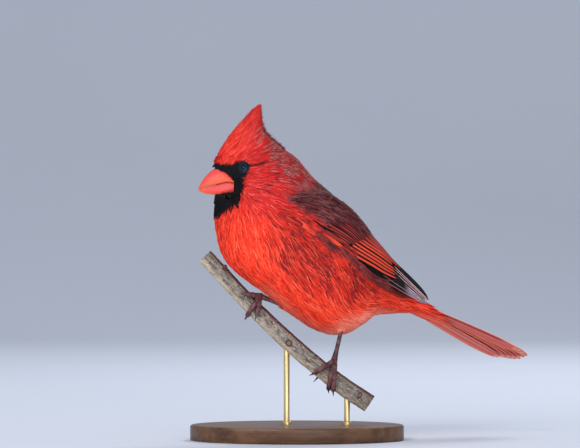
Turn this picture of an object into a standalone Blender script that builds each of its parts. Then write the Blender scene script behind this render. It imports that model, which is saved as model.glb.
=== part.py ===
"""Male northern cardinal, life size, gripping a short cut length of branch on a plain stand.

Metres, +Z up. The origin is the middle of the base's underside. The bird faces -X, so its left side is
towards -Y. The sizes below are in millimetres and are turned into metres by MM where they are used.
"""

import math

import bmesh
import bpy
import numpy as np
from mathutils import Vector

MM = 0.001
GAP = 0.35 * MM
PARTS, CUTTERS = "northern_cardinal", "cutters"

# The plumage outline, section by section from the base of the bill to the root of the tail.
# back (x, z), belly (x, z), half width of the upper and lower half, heading of the section in degrees.
BODY_SECTIONS = [
    ((-48.3, 160.4), (-45.0, 143.0), 3.2, 3.0, 6),
    ((-41.5, 167.0), (-47.2, 137.0), 5.8, 5.4, 6),
    ((-32.0, 171.0), (-47.8, 132.0), 8.6, 7.8, 7),
    ((-21.5, 172.0), (-47.6, 128.0), 12.4, 13.0, 8),
    ((-10.5, 169.4), (-46.8, 124.0), 15.2, 18.0, 10),
    ((-1.0, 163.5), (-45.6, 118.0), 18.6, 22.6, 13),
    ((9.0, 151.6), (-43.4, 110.6), 22.4, 26.4, 16),
    ((18.5, 143.2), (-39.2, 102.8), 26.0, 29.6, 18),
    ((27.0, 135.0), (-31.0, 95.0), 28.6, 31.6, 18),
    ((33.5, 127.0), (-21.8, 88.4), 29.6, 32.2, 18),
    ((39.5, 118.0), (-10.4, 79.8), 28.6, 31.2, 18),
    ((45.0, 110.0), (1.2, 70.6), 25.4, 29.2, 19),
    ((49.5, 102.0), (12.9, 63.4), 20.8, 25.6, 20),
    ((53.5, 95.0), (26.5, 61.6), 16.4, 20.4, 21),
    ((57.6, 89.4), (41.0, 71.2), 12.2, 14.0, 22),
    ((62.5, 85.0), (55.5, 73.4), 9.2, 10.0, 23),
    ((69.0, 81.9), (66.6, 73.4), 7.0, 7.2, 24),
    ((79.0, 77.2), (77.4, 72.6), 4.2, 4.2, 24),
]
HEAD_END, NECK_END, TORSO_END, TAIL_CORE_END = 3.7, 5.2, 14.5, 17.0

# The folded wings lie on the body's outline as far as the rump and then run straight on past it.
# For each section from this one on: how far their surface stands over the back, and its half width.
WING_SECTIONS_FROM = 6
WING_SECTIONS = [
    (1.6, 24.6),
    (1.9, 28.4),
    (2.1, 31.0),
    (2.4, 32.0),
    (3.0, 31.0),
    (3.8, 28.4),
    (5.2, 25.0),
    (6.8, 21.4),
    (7.6, 17.8),
    (6.8, 14.6),
    (4.8, 11.8),
    (2.4, 9.4),
]

# Tiers of the folded left wing, mirrored for the right one. Each row says where its first and last feathers
# lie, as (section, degrees round the body) of root and tip, how far their roots and tips stand off the wing's
# surface, their width, and how many there are. The innermost feather comes first and lies on top.
FEATHER_TIERS = {
    "primary": ((10.2, 56), (14.2, 33), (10.6, 65), (16.6, 46), (-0.6, -0.4), (-1.2, -2.0), 8.0, 7),
    "secondary": ((9.0, 36), (13.1, 27), (9.6, 60), (14.0, 45), (-0.3, 0.8), (-0.4, 0.1), 6.4, 6),
    "tertial": ((8.5, 27), (11.2, 23), (8.7, 36), (12.6, 27), (-0.5, 1.6), (-0.4, 1.4), 7.6, 3),
    "greater_covert": ((7.9, 38), (9.9, 35), (8.5, 66), (10.4, 60), (-0.5, 1.5), (-0.5, 0.8), 5.6, 6),
    "primary_covert": ((8.7, 67), (11.0, 62), (9.1, 70), (11.4, 66), (-0.5, 0.4), (-0.6, 0.0), 5.0, 2),
    "median_covert": ((7.1, 39), (8.6, 37), (7.4, 69), (8.9, 68), (-0.6, 1.4), (-0.6, 1.0), 7.0, 5),
    "lesser_covert": ((6.6, 44), (7.6, 42), (6.8, 70), (7.9, 71), (-0.8, 1.1), (-0.8, 0.9), 8.0, 4),
    "scapular": ((6.6, 16), (8.7, 13), (7.0, 34), (9.3, 28), (-1.6, 1.2), (-1.4, 1.7), 8.0, 4),
}
TIER_ROWS = {"primary": 5, "secondary": 5}
TIER_TILT = {"primary": 0.05, "tertial": 0.1}
COVERT_ROWS, COVERT_TILT = 4, 0.16
COVERT_ROOT_WIDTH = 0.4

# The crest grows from a cap that a sloping cut parts from the head.
CREST_CUT_FRONT = (-49.5, 162.1)
CREST_CUT_BACK = (-6.0, 168.7)
# Its outline, from the crown up: front x, z, rear x, z, half width.
CREST_OUTLINE = [
    (-47.4, 162.8, -8.0, 168.8, 7.0),
    (-41.2, 173.2, -13.6, 172.6, 6.6),
    (-34.6, 181.2, -18.6, 177.4, 5.2),
    (-28.8, 187.4, -20.6, 183.2, 3.5),
    (-24.4, 192.2, -20.9, 189.2, 1.9),
    (-21.2, 195.0, -20.8, 194.2, 0.4),
]
CREST_CORE_END = 2.4
# Tiers of crest feathers: from and to which row of the outline, how many, how wide, how far tips stand off.
CREST_TIERS = [
    (0.35, 2.0, 8, 6.0, 0.5),
    (1.0, 3.4, 6, 4.8, 0.45),
    (2.0, 4.9, 4, 3.4, 0.3),
]

# The bill, in the head's own plane: x, culmen z, mouth line z, keel z, half width.
BILL_SECTIONS = [
    (-37.0, 152.0, 149.0, 144.0, 7.2),
    (-40.6, 156.2, 149.4, 142.8, 7.4),
    (-45.0, 157.8, 148.4, 142.0, 6.8),
    (-49.2, 156.2, 147.4, 142.2, 5.5),
    (-52.8, 152.8, 146.8, 142.8, 4.1),
    (-55.6, 148.6, 146.0, 143.7, 2.4),
]
BILL_TIP = (-57.4, 143.9)
NOSTRIL_PLACE = (-44.6, 153.0)
NOSTRIL_OFF_MIDLINE = 6.3
NOSTRIL_SIZE = (1.5, 0.9, 0.8)

# Where the eye looks out, as (section, degrees), and how deep the eyeball's centre lies below it.
EYE_AT = (2.74, 70.5)
EYE_DEPTH = 2.75
EYEBALL_RADIUS = 4.1
# The lids: a ring on the plumage, at its own height over the eyeball's centre.
LID_HEIGHT = 2.85
LID_RING_RADIUS = 3.6
LID_THICKNESS = 0.62

# The tail: a fan of six pairs, the middle pair on top.
TAIL_ROOT_AT = 15.3
TAIL_PAIRS = 6
TAIL_ROOT_RAISED = 2.8
TAIL_SLOPE, TAIL_HEADING, TAIL_ROLL = 26.0, 24.0, 13.0
TAIL_LENGTH_MIDDLE, TAIL_LENGTH_OUTER = 89.0, 77.0
# Coverts over and under the tail's root: degrees round the body, all from and to the same sections.
TAIL_COVERTS = (-40, 0, 40, 150, 210)
TAIL_COVERTS_FROM, TAIL_COVERTS_TO = 14.9, 17.6
TAIL_FEATHER_WIDTH = 11.5
TAIL_SPREAD_DEGREES = 4.6
VANE_THICKNESS = 0.55

# The branch: points of its middle line (x, z) from the high cut end to the low one, thicker there.
PERCH_ROUTE = [(-53.4, 106.7), (-27.3, 78.6), (-1.2, 53.9), (24.9, 32.5), (42.0, 21.0)]
PERCH_RADIUS_HIGH, PERCH_RADIUS_LOW = 4.5, 5.4
PERCH_RINGS, PERCH_SIDES = 17, 12
BUD_SHARE, BUD_DEGREES, BUD_LENGTH, BUD_RADIUS = 0.085, 40, 2.6, 1.6

BASE_LENGTH, BASE_DEPTH, BASE_THICKNESS = 124.0, 86.0, 9.0
ROD_RADIUS = 1.7
ROD_PLACES = {"stand_rod_upper": -6.0, "stand_rod_lower": 29.0}

RING_SIDES = 24


def mixed(a, b, share):
    return a + (b - a) * share


def spline_value(rows, place):
    """Catmull-Rom value of a table at a place counted in rows, running straight on past its ends."""
    last = len(rows) - 1
    i = min(max(int(math.floor(place)), 0), last - 1)
    f = place - i
    p1, p2 = rows[i], rows[i + 1]
    if f < 0 or f > 1:
        return p1 + (p2 - p1) * f
    p0 = rows[i - 1] if i > 0 else 2 * p1 - p2
    p3 = rows[i + 2] if i + 2 <= last else 2 * p2 - p1
    bend = (2 * p0 - 5 * p1 + 4 * p2 - p3) * f**2 + (3 * p1 - p0 - 3 * p2 + p3) * f**3
    return 0.5 * (2 * p1 + (p2 - p0) * f + bend)


def spine_rows():
    """Each section as numbers: centre x, y, z, half height vector x, z, two half widths, heading."""
    rows, depth, before = [], 0.0, None
    for back, belly, upper, lower, heading in BODY_SECTIONS:
        x, z = (back[0] + belly[0]) / 2, (back[1] + belly[1]) / 2
        if before is not None:
            depth += (x - before) * math.tan(math.radians(heading))
        before = x
        rows.append([x, depth, z, back[0] - x, back[1] - z, upper, lower, heading])
    rows = np.array(rows)
    rows[:, 1] -= np.interp(8, range(len(rows)), rows[:, 1])
    return rows


def wing_rows(spine):
    """The same sections grown to the surface on which the folded wings lie."""
    rows = spine.copy()
    for row, (lift, half_width) in zip(rows[WING_SECTIONS_FROM:], WING_SECTIONS):
        grown = 1 + lift / math.hypot(row[3], row[4])
        row[3] *= grown
        row[4] *= grown
        row[5] = half_width
    return rows


SPINE = spine_rows()
WING_SPINE = wing_rows(SPINE)
CREST_ROWS = np.array(CREST_OUTLINE)


def section_at(place, spine=SPINE):
    """Centre, back vector, left vector and half widths of the body at a place along it, in metres."""
    x, y, z, up_x, up_z, upper, lower, heading = spline_value(spine, place)
    turn = math.radians(heading)
    centre = Vector((x, y, z)) * MM
    back = Vector((up_x, up_x * math.tan(turn), up_z)) * MM
    left = Vector((math.sin(turn), -math.cos(turn), 0))
    return centre, back, left, upper * MM, lower * MM


def on_body(place, degrees, lift=0.0, spine=SPINE):
    """A point of the plumage: 0 degrees is the back, 90 the left side, 180 the belly, minus the right."""
    centre, back, left, upper, lower = section_at(place, spine)
    angle = math.radians(degrees)
    half_width = mixed(lower, upper, 0.5 + 0.5 * math.cos(angle)) + lift
    grown = back * (1 + lift / back.length)
    return centre + grown * math.cos(angle) + left * half_width * math.sin(angle)


def body_surface(place, degrees):
    return on_body(place, degrees)


def wing_surface(place, degrees):
    return on_body(place, degrees, 0, WING_SPINE)


def normal_of(surface, place, degrees):
    """The outward direction of a closed surface of (place, degrees)."""
    along = surface(place + 0.05, degrees) - surface(place - 0.05, degrees)
    around = surface(place, degrees + 1) - surface(place, degrees - 1)
    normal = along.cross(around).normalized()
    outward = surface(place, degrees) - surface(place, degrees + 180)
    return normal if normal.dot(outward) > 0 else -normal


def new_object(name, mesh):
    """An object in the collection of the bird's parts."""
    obj = bpy.data.objects.new(name, mesh)
    bpy.data.collections[PARTS].objects.link(obj)
    return obj


def adopted(name):
    """The primitive just added: named, in the parts' collection, with its transform applied."""
    obj = bpy.context.object
    for collection in obj.users_collection:
        collection.objects.unlink(obj)
    bpy.data.collections[PARTS].objects.link(obj)
    obj.name = obj.data.name = name
    bpy.context.view_layer.update()
    obj.data.transform(obj.matrix_world)
    obj.matrix_world.identity()
    return obj


def as_cutter(obj):
    """Moves a solid to the cutters' collection, hidden in renders and drawn as wires."""
    bpy.data.collections[PARTS].objects.unlink(obj)
    bpy.data.collections[CUTTERS].objects.link(obj)
    obj.hide_render = True
    obj.display_type = "WIRE"
    return obj


def paint(obj, colour, roughness, metallic=0.0):
    """Gives the object its own Principled material."""
    material = bpy.data.materials.new(obj.name)
    material.use_nodes = True
    shader = material.node_tree.nodes["Principled BSDF"]
    shader.inputs["Base Color"].default_value = (*colour, 1)
    shader.inputs["Roughness"].default_value = roughness
    shader.inputs["Metallic"].default_value = metallic
    obj.data.materials.clear()
    obj.data.materials.append(material)


def mesh_of(bm, name):
    bmesh.ops.recalc_face_normals(bm, faces=bm.faces)
    mesh = bpy.data.meshes.new(name)
    bm.to_mesh(mesh)
    bm.free()
    return mesh


def lofted(name, rings):
    """A closed skin over rings of points, with a flat cap at each end."""
    bm = bmesh.new()
    made = [[bm.verts.new(point) for point in ring] for ring in rings]
    count = len(made[0])
    for first, second in zip(made, made[1:]):
        for k in range(count):
            after = (k + 1) % count
            bm.faces.new((first[k], first[after], second[after], second[k]))
    bm.faces.new(made[0][::-1])
    bm.faces.new(made[-1])
    bmesh.ops.triangulate(bm, faces=bm.faces)
    return mesh_of(bm, name)


def body_rings(start, end, step, lift=0.0):
    """Rings of plumage between two places along the body."""
    count = max(2, round((end - start) / step) + 1)
    angles = np.linspace(0, 360, RING_SIDES, endpoint=False)
    return [[on_body(place, a, lift) for a in angles] for place in np.linspace(start, end, count)]


def joined(name, pieces):
    """One closed body from several overlapping ones: their Boolean union, with only its largest part kept."""
    body, others = pieces[0], pieces[1:]
    body.name = body.data.name = name
    if others:
        group = bpy.data.collections.new(name + "_pieces")
        for piece in others:
            group.objects.link(piece)
            bpy.data.collections[PARTS].objects.unlink(piece)
        union = body.modifiers.new("join", "BOOLEAN")
        union.operation = "UNION"
        union.operand_type = "COLLECTION"
        union.collection = group
        apply_modifiers(body)
        for piece in others:
            bpy.data.objects.remove(piece)
        bpy.data.collections.remove(group)
    keep_largest(body)
    return body


def apply_modifiers(obj):
    graph = bpy.context.evaluated_depsgraph_get()
    evaluated = bpy.data.meshes.new_from_object(obj.evaluated_get(graph))
    obj.modifiers.clear()
    obj.data = evaluated


def cut_away(body, cutters):
    """Takes the cutters' space out of a body."""
    for cutter in cutters:
        as_cutter(cutter)
        cut = body.modifiers.new("cut", "BOOLEAN")
        cut.operation = "DIFFERENCE"
        cut.object = cutter
    apply_modifiers(body)
    keep_largest(body)


def keep_largest(obj):
    """Keeps the largest closed surface of a mesh, which fills sealed hollows and drops scraps."""
    bm = bmesh.new()
    bm.from_mesh(obj.data)
    bmesh.ops.triangulate(bm, faces=bm.faces)
    unseen, parts = set(bm.faces), []
    while unseen:
        edge, part = [unseen.pop()], []
        while edge:
            face = edge.pop()
            part.append(face)
            near = {f for e in face.edges for f in e.link_faces} & unseen
            unseen -= near
            edge.extend(near)
        parts.append(part)
    parts.sort(key=lambda part: sum(f.calc_area() for f in part))
    for part in parts[:-1]:
        bmesh.ops.delete(bm, geom=part, context="FACES")
    loose = [v for v in bm.verts if not v.link_faces]
    bmesh.ops.delete(bm, geom=loose, context="VERTS")
    bm.to_mesh(obj.data)
    bm.free()


def halved(obj, point, normal):
    """Cuts a closed mesh with a plane, drops what lies on the normal's side and closes the cut."""
    bm = bmesh.new()
    bm.from_mesh(obj.data)
    everything = bm.verts[:] + bm.edges[:] + bm.faces[:]
    done = bmesh.ops.bisect_plane(
        bm, geom=everything, dist=1e-7, plane_co=point, plane_no=normal, clear_outer=True
    )
    edges = [g for g in done["geom_cut"] if isinstance(g, bmesh.types.BMEdge)]
    bmesh.ops.holes_fill(bm, edges=edges)
    bmesh.ops.triangulate(bm, faces=bm.faces)
    bmesh.ops.recalc_face_normals(bm, faces=bm.faces)
    bm.to_mesh(obj.data)
    bm.free()


def vane(name, rows):
    """A thin feather. Each row gives its left edge, shaft and right edge, the way up and the thickness."""
    bm = bmesh.new()
    grid = []
    for left, middle, right, up, thick in rows:
        top = [bm.verts.new(p + up * thick / 2) for p in (left, middle, right)]
        grid.append(top + [bm.verts.new(p - up * thick / 2) for p in (left, middle, right)])
    for a, b in zip(grid, grid[1:]):
        for k in (0, 1):
            for low in (0, 3):
                bm.faces.new((a[k + low], a[k + 1 + low], b[k + 1 + low]))
                bm.faces.new((a[k + low], b[k + 1 + low], b[k + low]))
        for k in (0, 2):
            bm.faces.new((a[k], b[k], b[k + 3]))
            bm.faces.new((a[k], b[k + 3], a[k + 3]))
    for row in (grid[0], grid[-1]):
        bm.faces.new((row[0], row[1], row[4], row[3]))
        bm.faces.new((row[1], row[2], row[5], row[4]))
    bmesh.ops.triangulate(bm, faces=[f for f in bm.faces if len(f.verts) > 3])
    return new_object(name, mesh_of(bm, name))


def feather_width(share, root_width, widest_at=0.55):
    """Width of a vane along its length, as a share of its widest: narrow root, full middle, rounded tip."""
    if share < widest_at:
        return mixed(root_width, 1.0, math.sin(share / widest_at * math.pi / 2))
    past = (share - widest_at) / (1 - widest_at)
    return max(0.14, math.sqrt(max(0.0, 1 - past**2.6)))


def across_surface(surface, place, degrees, direction, distance):
    """The point of a surface that lies a small distance off to one side of another."""
    along = (surface(place + 0.02, degrees) - surface(place - 0.02, degrees)) / 0.04
    around = surface(place, degrees + 0.5) - surface(place, degrees - 0.5)
    slopes = np.array([along, around]).T
    steps = np.linalg.lstsq(slopes, np.array(direction * distance), rcond=None)[0]
    return surface(place + steps[0], degrees + steps[1])


def laid_vane(name, surface, root, tip, lifts, width, rows=4, tilt=0.0, root_width=0.6, widest_at=0.6):
    """A vane that lies on a surface from root to tip, each (place, degrees), at lifts above it in mm.

    The tilt raises its edge on the side of more degrees, so that a row of vanes overlaps like shingles.
    """
    made = []
    for k in range(rows):
        share = 1 - (1 - k / (rows - 1)) ** 1.25
        place, degrees = mixed(root[0], tip[0], share), mixed(root[1], tip[1], share)
        step = 0.04
        ahead = surface(place + step * (tip[0] - root[0]), degrees + step * (tip[1] - root[1]))
        here = surface(place, degrees)
        up = normal_of(surface, place, degrees)
        across = up.cross(ahead - here).normalized()
        half = width / 2 * feather_width(share, root_width, widest_at) * MM
        raised = up * mixed(lifts[0], lifts[1], share) * MM
        outward = (surface(place, degrees + 1) - surface(place, degrees)).dot(across)
        lean = up * half * math.copysign(tilt * share, outward)
        left = across_surface(surface, place, degrees, across, -half) + raised - lean
        right = across_surface(surface, place, degrees, across, half) + raised + lean
        made.append((left, here + raised, right, up, VANE_THICKNESS * MM))
    return vane(name, made)


def tube(name, points, radii, bevel_resolution=1):
    """A round tube of changing radius along points, as a closed mesh made from a bevelled curve."""
    curve = bpy.data.curves.new(name, "CURVE")
    curve.dimensions = "3D"
    curve.bevel_depth = 1.0
    curve.bevel_resolution = bevel_resolution
    curve.use_fill_caps = True
    spline = curve.splines.new("POLY")
    spline.points.add(len(points) - 1)
    for spot, point, radius in zip(spline.points, points, radii):
        spot.co = (*point, 1)
        spot.radius = radius
    guide = new_object(name + "_curve", curve)
    graph = bpy.context.evaluated_depsgraph_get()
    mesh = bpy.data.meshes.new_from_object(guide.evaluated_get(graph))
    bpy.data.objects.remove(guide)
    bm = bmesh.new()
    bm.from_mesh(mesh)
    bmesh.ops.remove_doubles(bm, verts=bm.verts, dist=1e-6)
    bmesh.ops.triangulate(bm, faces=bm.faces)
    bmesh.ops.recalc_face_normals(bm, faces=bm.faces)
    bm.to_mesh(mesh)
    bm.free()
    return new_object(name, mesh)


def ball(name, centre, radii, segments=14, rings=8):
    """An ellipsoid from a UV sphere."""
    bm = bmesh.new()
    bmesh.ops.create_uvsphere(bm, u_segments=segments, v_segments=rings, radius=1)
    bmesh.ops.scale(bm, vec=Vector(radii), verts=bm.verts)
    bmesh.ops.translate(bm, vec=centre, verts=bm.verts)
    bmesh.ops.triangulate(bm, faces=bm.faces)
    return new_object(name, mesh_of(bm, name))


def head_point(x, side, z):
    """A point of the head given along its own plane: x and z as seen from its side, and off its midline."""
    heading = math.radians(BODY_SECTIONS[1][4])
    along = SPINE[2]
    y = along[1] + (x - along[0]) * math.tan(heading)
    left = Vector((math.sin(heading), -math.cos(heading), 0))
    return (Vector((x, y, z)) + left * side) * MM


def bill_half(name, upper, lift=0.0):
    """The upper or lower half of the bill as a loft of half ovals that meet at the mouth line."""
    rings = []
    mouth_gap = 0.0 if lift else 0.16
    for x, culmen, mouth, keel, half_width in BILL_SECTIONS:
        crown = culmen if upper else keel
        sign = 1 if upper else -1
        edge = mouth + sign * mouth_gap - sign * lift
        rise = crown + sign * lift - edge
        ring = []
        for degrees in np.linspace(0, 180, 9):
            angle = math.radians(degrees)
            across = (half_width + lift) * math.cos(angle)
            ridge = abs(math.sin(angle)) ** (0.86 if upper else 0.7)
            ring.append(head_point(x, across, edge + rise * ridge))
        rings.append(ring)
    tip_x, tip_z = BILL_TIP
    last = BILL_SECTIONS[-1]
    if upper:
        centre, size = (tip_x, tip_z + 0.45), 0.3
    else:
        centre, size = (tip_x + 0.9, tip_z + 0.1), 0.3
    size += lift
    tip = []
    for degrees in np.linspace(0, 180, 9):
        angle = math.radians(degrees)
        drop = size * math.sin(angle) * (1 if upper else -1)
        tip.append(head_point(centre[0] - lift, size * math.cos(angle), centre[1] + drop))
    if last[0] > tip_x:
        rings.append(tip)
    return new_object(name, lofted(name, rings))


def make_bill():
    """Upper and lower bill, with a nostril pit each side, both in the same horn colour."""
    upper, lower = bill_half("bill_upper", True), bill_half("bill_lower", False)
    pits = []
    for side in (1, -1):
        spot = head_point(NOSTRIL_PLACE[0], side * NOSTRIL_OFF_MIDLINE, NOSTRIL_PLACE[1])
        pits.append(ball("nostril", spot, [s * MM for s in NOSTRIL_SIZE], 8, 6))
    cut_away(upper, pits)
    for half in (upper, lower):
        paint(half, (0.80, 0.16, 0.05), 0.35)


def eye_axis(side):
    """Centre of an eyeball and the direction in which it looks."""
    place, degrees = EYE_AT
    out = normal_of(body_surface, place, degrees * side)
    return body_surface(place, degrees * side) - out * EYE_DEPTH * MM, out


def lid_ring(side):
    """The bare lids as a ring round the eye, drawn out to a small corner behind it."""
    centre, out = eye_axis(side)
    bpy.ops.mesh.primitive_torus_add(
        major_segments=20,
        minor_segments=6,
        major_radius=LID_RING_RADIUS * MM,
        minor_radius=LID_THICKNESS * MM,
        location=centre + out * LID_HEIGHT * MM,
        rotation=out.to_track_quat("Z", "Y").to_euler(),
    )
    ring = adopted("lids")
    for vertex in ring.data.vertices:
        behind = (vertex.co - centre).x / (LID_RING_RADIUS * MM)
        vertex.co.x += max(0.0, behind - 0.7) * 1.8 * MM
    return ring


def make_head():
    """The head below the crest cut, with pockets for the bill and eyes and with raised lids."""
    head = new_object("head", lofted("head", body_rings(0, HEAD_END, 0.46)))
    front = head_point(CREST_CUT_FRONT[0], 0, CREST_CUT_FRONT[1])
    back = head_point(CREST_CUT_BACK[0], 0, CREST_CUT_BACK[1])
    left = head_point(CREST_CUT_FRONT[0], 10, CREST_CUT_FRONT[1]) - front
    up = left.cross(back - front).normalized()
    up = up if up.z > 0 else -up
    cap = new_object("crest", head.data.copy())
    halved(head, front - up * GAP / 2, up)
    halved(cap, front + up * GAP / 2, -up)
    sockets = []
    for side in (1, -1):
        joined("head", [head, lid_ring(side)])
        sockets.append(ball("socket", eye_axis(side)[0], [EYEBALL_RADIUS * MM + GAP] * 3))
    bills = [bill_half("pocket_upper", True, 0.35), bill_half("pocket_lower", False, 0.35)]
    cut_away(head, sockets + bills)
    paint(head, (0.62, 0.03, 0.015), 0.7)
    return cap


def make_eyes():
    for side, name in ((1, "eye_left"), (-1, "eye_right")):
        eye = ball(name, eye_axis(side)[0], [EYEBALL_RADIUS * MM] * 3)
        paint(eye, (0.02, 0.018, 0.016), 0.08)


def crest_surface(place, degrees, shrink=0.0):
    """A point of the raised crest: 0 degrees is its front edge, 90 its left side, 180 its rear edge."""
    front_x, front_z, rear_x, rear_z, half_width = spline_value(CREST_ROWS, place)
    angle = math.radians(degrees)
    share = 0.5 - 0.5 * math.cos(angle)
    length = max(0.2, math.hypot(rear_x - front_x, rear_z - front_z))
    share = mixed(share, 0.5, shrink / length * 2)
    across = (half_width - shrink) * math.sin(angle)
    return head_point(mixed(front_x, rear_x, share), across, mixed(front_z, rear_z, share))


def make_crest(cap):
    """The crest on its cap of crown, feather by feather over a low core."""
    angles = np.linspace(0, 360, 12, endpoint=False)
    rings = [[crest_surface(place, a, 0.9) for a in angles] for place in np.linspace(0, CREST_CORE_END, 4)]
    pieces = [cap, new_object("crest_core", lofted("crest_core", rings))]
    for tier, (start, end, count, width, lift) in enumerate(CREST_TIERS):
        for k in range(count):
            degrees = 360 * (k + 0.5 * tier) / count
            ends = (end + 0.2 * math.cos(math.radians(degrees)), degrees)
            lifts = (-1.2, lift)
            lock = laid_vane("lock", crest_surface, (start, degrees), ends, lifts, width, 4, 0, 0.6, 0.35)
            pieces.append(lock)
    joined("crest", pieces)
    nape = body_rings(HEAD_END + 0.005, NECK_END, 0.3, GAP)
    cut_away(cap, [new_object("nape_room", lofted("nape_room", nape))])
    paint(cap, (0.62, 0.02, 0.012), 0.65)


def make_trunk():
    """Neck and torso, parted by flat cuts across the body."""
    spans = {"neck": (HEAD_END, NECK_END), "torso": (NECK_END, TORSO_END)}
    for name, (start, end) in spans.items():
        trunk = new_object(name, lofted(name, body_rings(start + 0.035, end, 0.5)))
        paint(trunk, (0.64, 0.035, 0.015), 0.75)


def wing_edges(place):
    """Upper and lower edge of the folded wing's flesh, in degrees round the body, at a place along it."""
    upper = np.interp(place, (6.2, 6.3, 6.6, 7.2, 8, 9, 10, 11, 12.4), (54, 46, 36, 27, 22, 21, 23, 29, 40))
    lower = np.interp(place, (6.2, 6.3, 6.6, 7.2, 8, 9, 10, 11, 12.4), (61, 67, 72, 75, 75, 73, 70, 66, 58))
    return upper, lower


def wing_core(name, side, surface):
    """The wing's fleshy part: a thin shell between the flank and the surface that its feathers lie on."""
    places = [6.2 + 6.2 * f**1.7 for f in np.linspace(0, 1, 12)]
    shares = np.linspace(0, 1, 6)
    layers = []
    for outer in (False, True):
        layer = []
        for place in places:
            high, low = wing_edges(place)
            row = []
            for share in shares:
                degrees = mixed(high, low, share)
                if outer:
                    point = surface(place, degrees) + normal_of(surface, place, degrees) * 0.3 * MM
                else:
                    point = on_body(place, degrees * side)
                    point += normal_of(body_surface, place, degrees * side) * 0.5 * MM
                row.append(point)
            layer.append(row)
        layers.append(layer)
    bm = bmesh.new()
    inner, outer = ([[bm.verts.new(p) for p in row] for row in layer] for layer in layers)
    for layer in (inner, outer):
        for a, b in zip(layer, layer[1:]):
            for k in range(len(shares) - 1):
                bm.faces.new((a[k], a[k + 1], b[k + 1]))
                bm.faces.new((a[k], b[k + 1], b[k]))
    rims = (
        ([r[0] for r in inner], [r[0] for r in outer]),
        ([r[-1] for r in inner], [r[-1] for r in outer]),
        (inner[0], outer[0]),
        (inner[-1], outer[-1]),
    )
    for low, high in rims:
        for k in range(len(low) - 1):
            bm.faces.new((low[k], low[k + 1], high[k + 1], high[k]))
    bmesh.ops.triangulate(bm, faces=[f for f in bm.faces if len(f.verts) > 3])
    return new_object(name, mesh_of(bm, name))


def make_wing(side, name):
    """A folded wing: tiers of overlapping vanes rooted in its core, cut clear of the plumage below."""

    def surface(place, degrees):
        return wing_surface(place, degrees * side)

    core = wing_core(name, side, surface)
    pieces = [core]
    for tier, row in FEATHER_TIERS.items():
        root_in, tip_in, root_out, tip_out, lifts_in, lifts_out, width, count = row
        for k in range(count):
            f = k / (count - 1)
            root = [mixed(a, b, f) for a, b in zip(root_in, root_out)]
            tip = [mixed(a, b, f) for a, b in zip(tip_in, tip_out)]
            if tier == "primary":
                reach = math.sin(min(1, f * 1.2) * math.pi / 2)
                tip[0] = mixed(tip_in[0], tip_out[0], reach) - 0.7 * max(0, f - 0.8)
            lifts = [mixed(a, b, f) for a, b in zip(lifts_in, lifts_out)]
            rows, tilt = TIER_ROWS.get(tier, COVERT_ROWS), TIER_TILT.get(tier, COVERT_TILT)
            root_width = 0.6 if tier in TIER_ROWS else COVERT_ROOT_WIDTH
            pieces.append(laid_vane(tier, surface, root, tip, lifts, width, rows, tilt, root_width))
    joined(name, pieces)
    room = new_object("flank_room", lofted("flank_room", body_rings(5.3, 17, 0.5, GAP)))
    cut_away(core, [room])
    paint(core, (0.30, 0.03, 0.02), 0.6)


def tail_frame():
    """Root point, direction, left vector and upper vector of the tail."""
    slope, heading, roll = (math.radians(a) for a in (TAIL_SLOPE, TAIL_HEADING, TAIL_ROLL))
    along = Vector((math.cos(slope), math.cos(slope) * math.tan(heading), -math.sin(slope))).normalized()
    left = Vector((math.sin(heading), -math.cos(heading), 0))
    up = along.cross(left)
    up = up if up.z > 0 else -up
    rolled_left = left * math.cos(roll) + up * math.sin(roll)
    rolled_up = up * math.cos(roll) - left * math.sin(roll)
    root = section_at(TAIL_ROOT_AT)[0] + Vector((0, 0, TAIL_ROOT_RAISED)) * MM
    return root, along, rolled_left, rolled_up


def make_tail():
    """The tail's root cone with its feathers fanned from it, each pair under the one nearer the middle."""
    core = new_object("tail", lofted("tail", body_rings(TORSO_END + 0.05, TAIL_CORE_END, 0.5)))
    root, along, left, up = tail_frame()
    pieces = [core]
    for pair in range(TAIL_PAIRS):
        outward = pair / (TAIL_PAIRS - 1)
        length = mixed(TAIL_LENGTH_MIDDLE, TAIL_LENGTH_OUTER, outward**1.5)
        for side in (1, -1):
            angle = math.radians(TAIL_SPREAD_DEGREES) * (0.12 + outward)
            reach = along * math.cos(angle) + left * side * math.sin(angle)
            across = left * math.cos(angle) - along * side * math.sin(angle)
            level = (1.6 - 3.4 * outward + 0.15 * side) * MM
            start = root + left * side * (0.6 + 2.4 * outward) * MM
            rows = []
            for share in (0, 0.4, 0.72, 0.9, 1):
                spread = feather_width(share, 0.4, 0.7)
                half = across * TAIL_FEATHER_WIDTH / 2 * spread * MM
                lean = (up + across * side * 0.12).normalized()
                point = start + reach * length * share * MM + up * level * (0.4 + 0.6 * share)
                rows.append((point - half, point + lean * 0.15 * MM, point + half, lean, VANE_THICKNESS * MM))
            pieces.append(vane("rectrix", rows))
    for degrees in TAIL_COVERTS:
        root, tip = (TAIL_COVERTS_FROM, degrees), (TAIL_COVERTS_TO, degrees)
        covert = laid_vane("covert", body_surface, root, tip, (-0.8, 0.5), 7.5, 3, 0, COVERT_ROOT_WIDTH)
        pieces.append(covert)
    joined("tail", pieces)
    paint(core, (0.52, 0.04, 0.03), 0.55)


PERCH_MIDDLE = np.array(PERCH_ROUTE)
PERCH_LENGTH = sum(math.dist(a, b) for a, b in zip(PERCH_ROUTE, PERCH_ROUTE[1:]))


def perch_point(share):
    """Middle of the branch at a share of its length, in metres, with a slight natural bow."""
    x, z = spline_value(PERCH_MIDDLE, share * (len(PERCH_ROUTE) - 1))
    return Vector((x, 0.6 * math.sin(2 * math.pi * share), z)) * MM


def perch_radius(share):
    return mixed(PERCH_RADIUS_HIGH, PERCH_RADIUS_LOW, share) * MM


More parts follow.
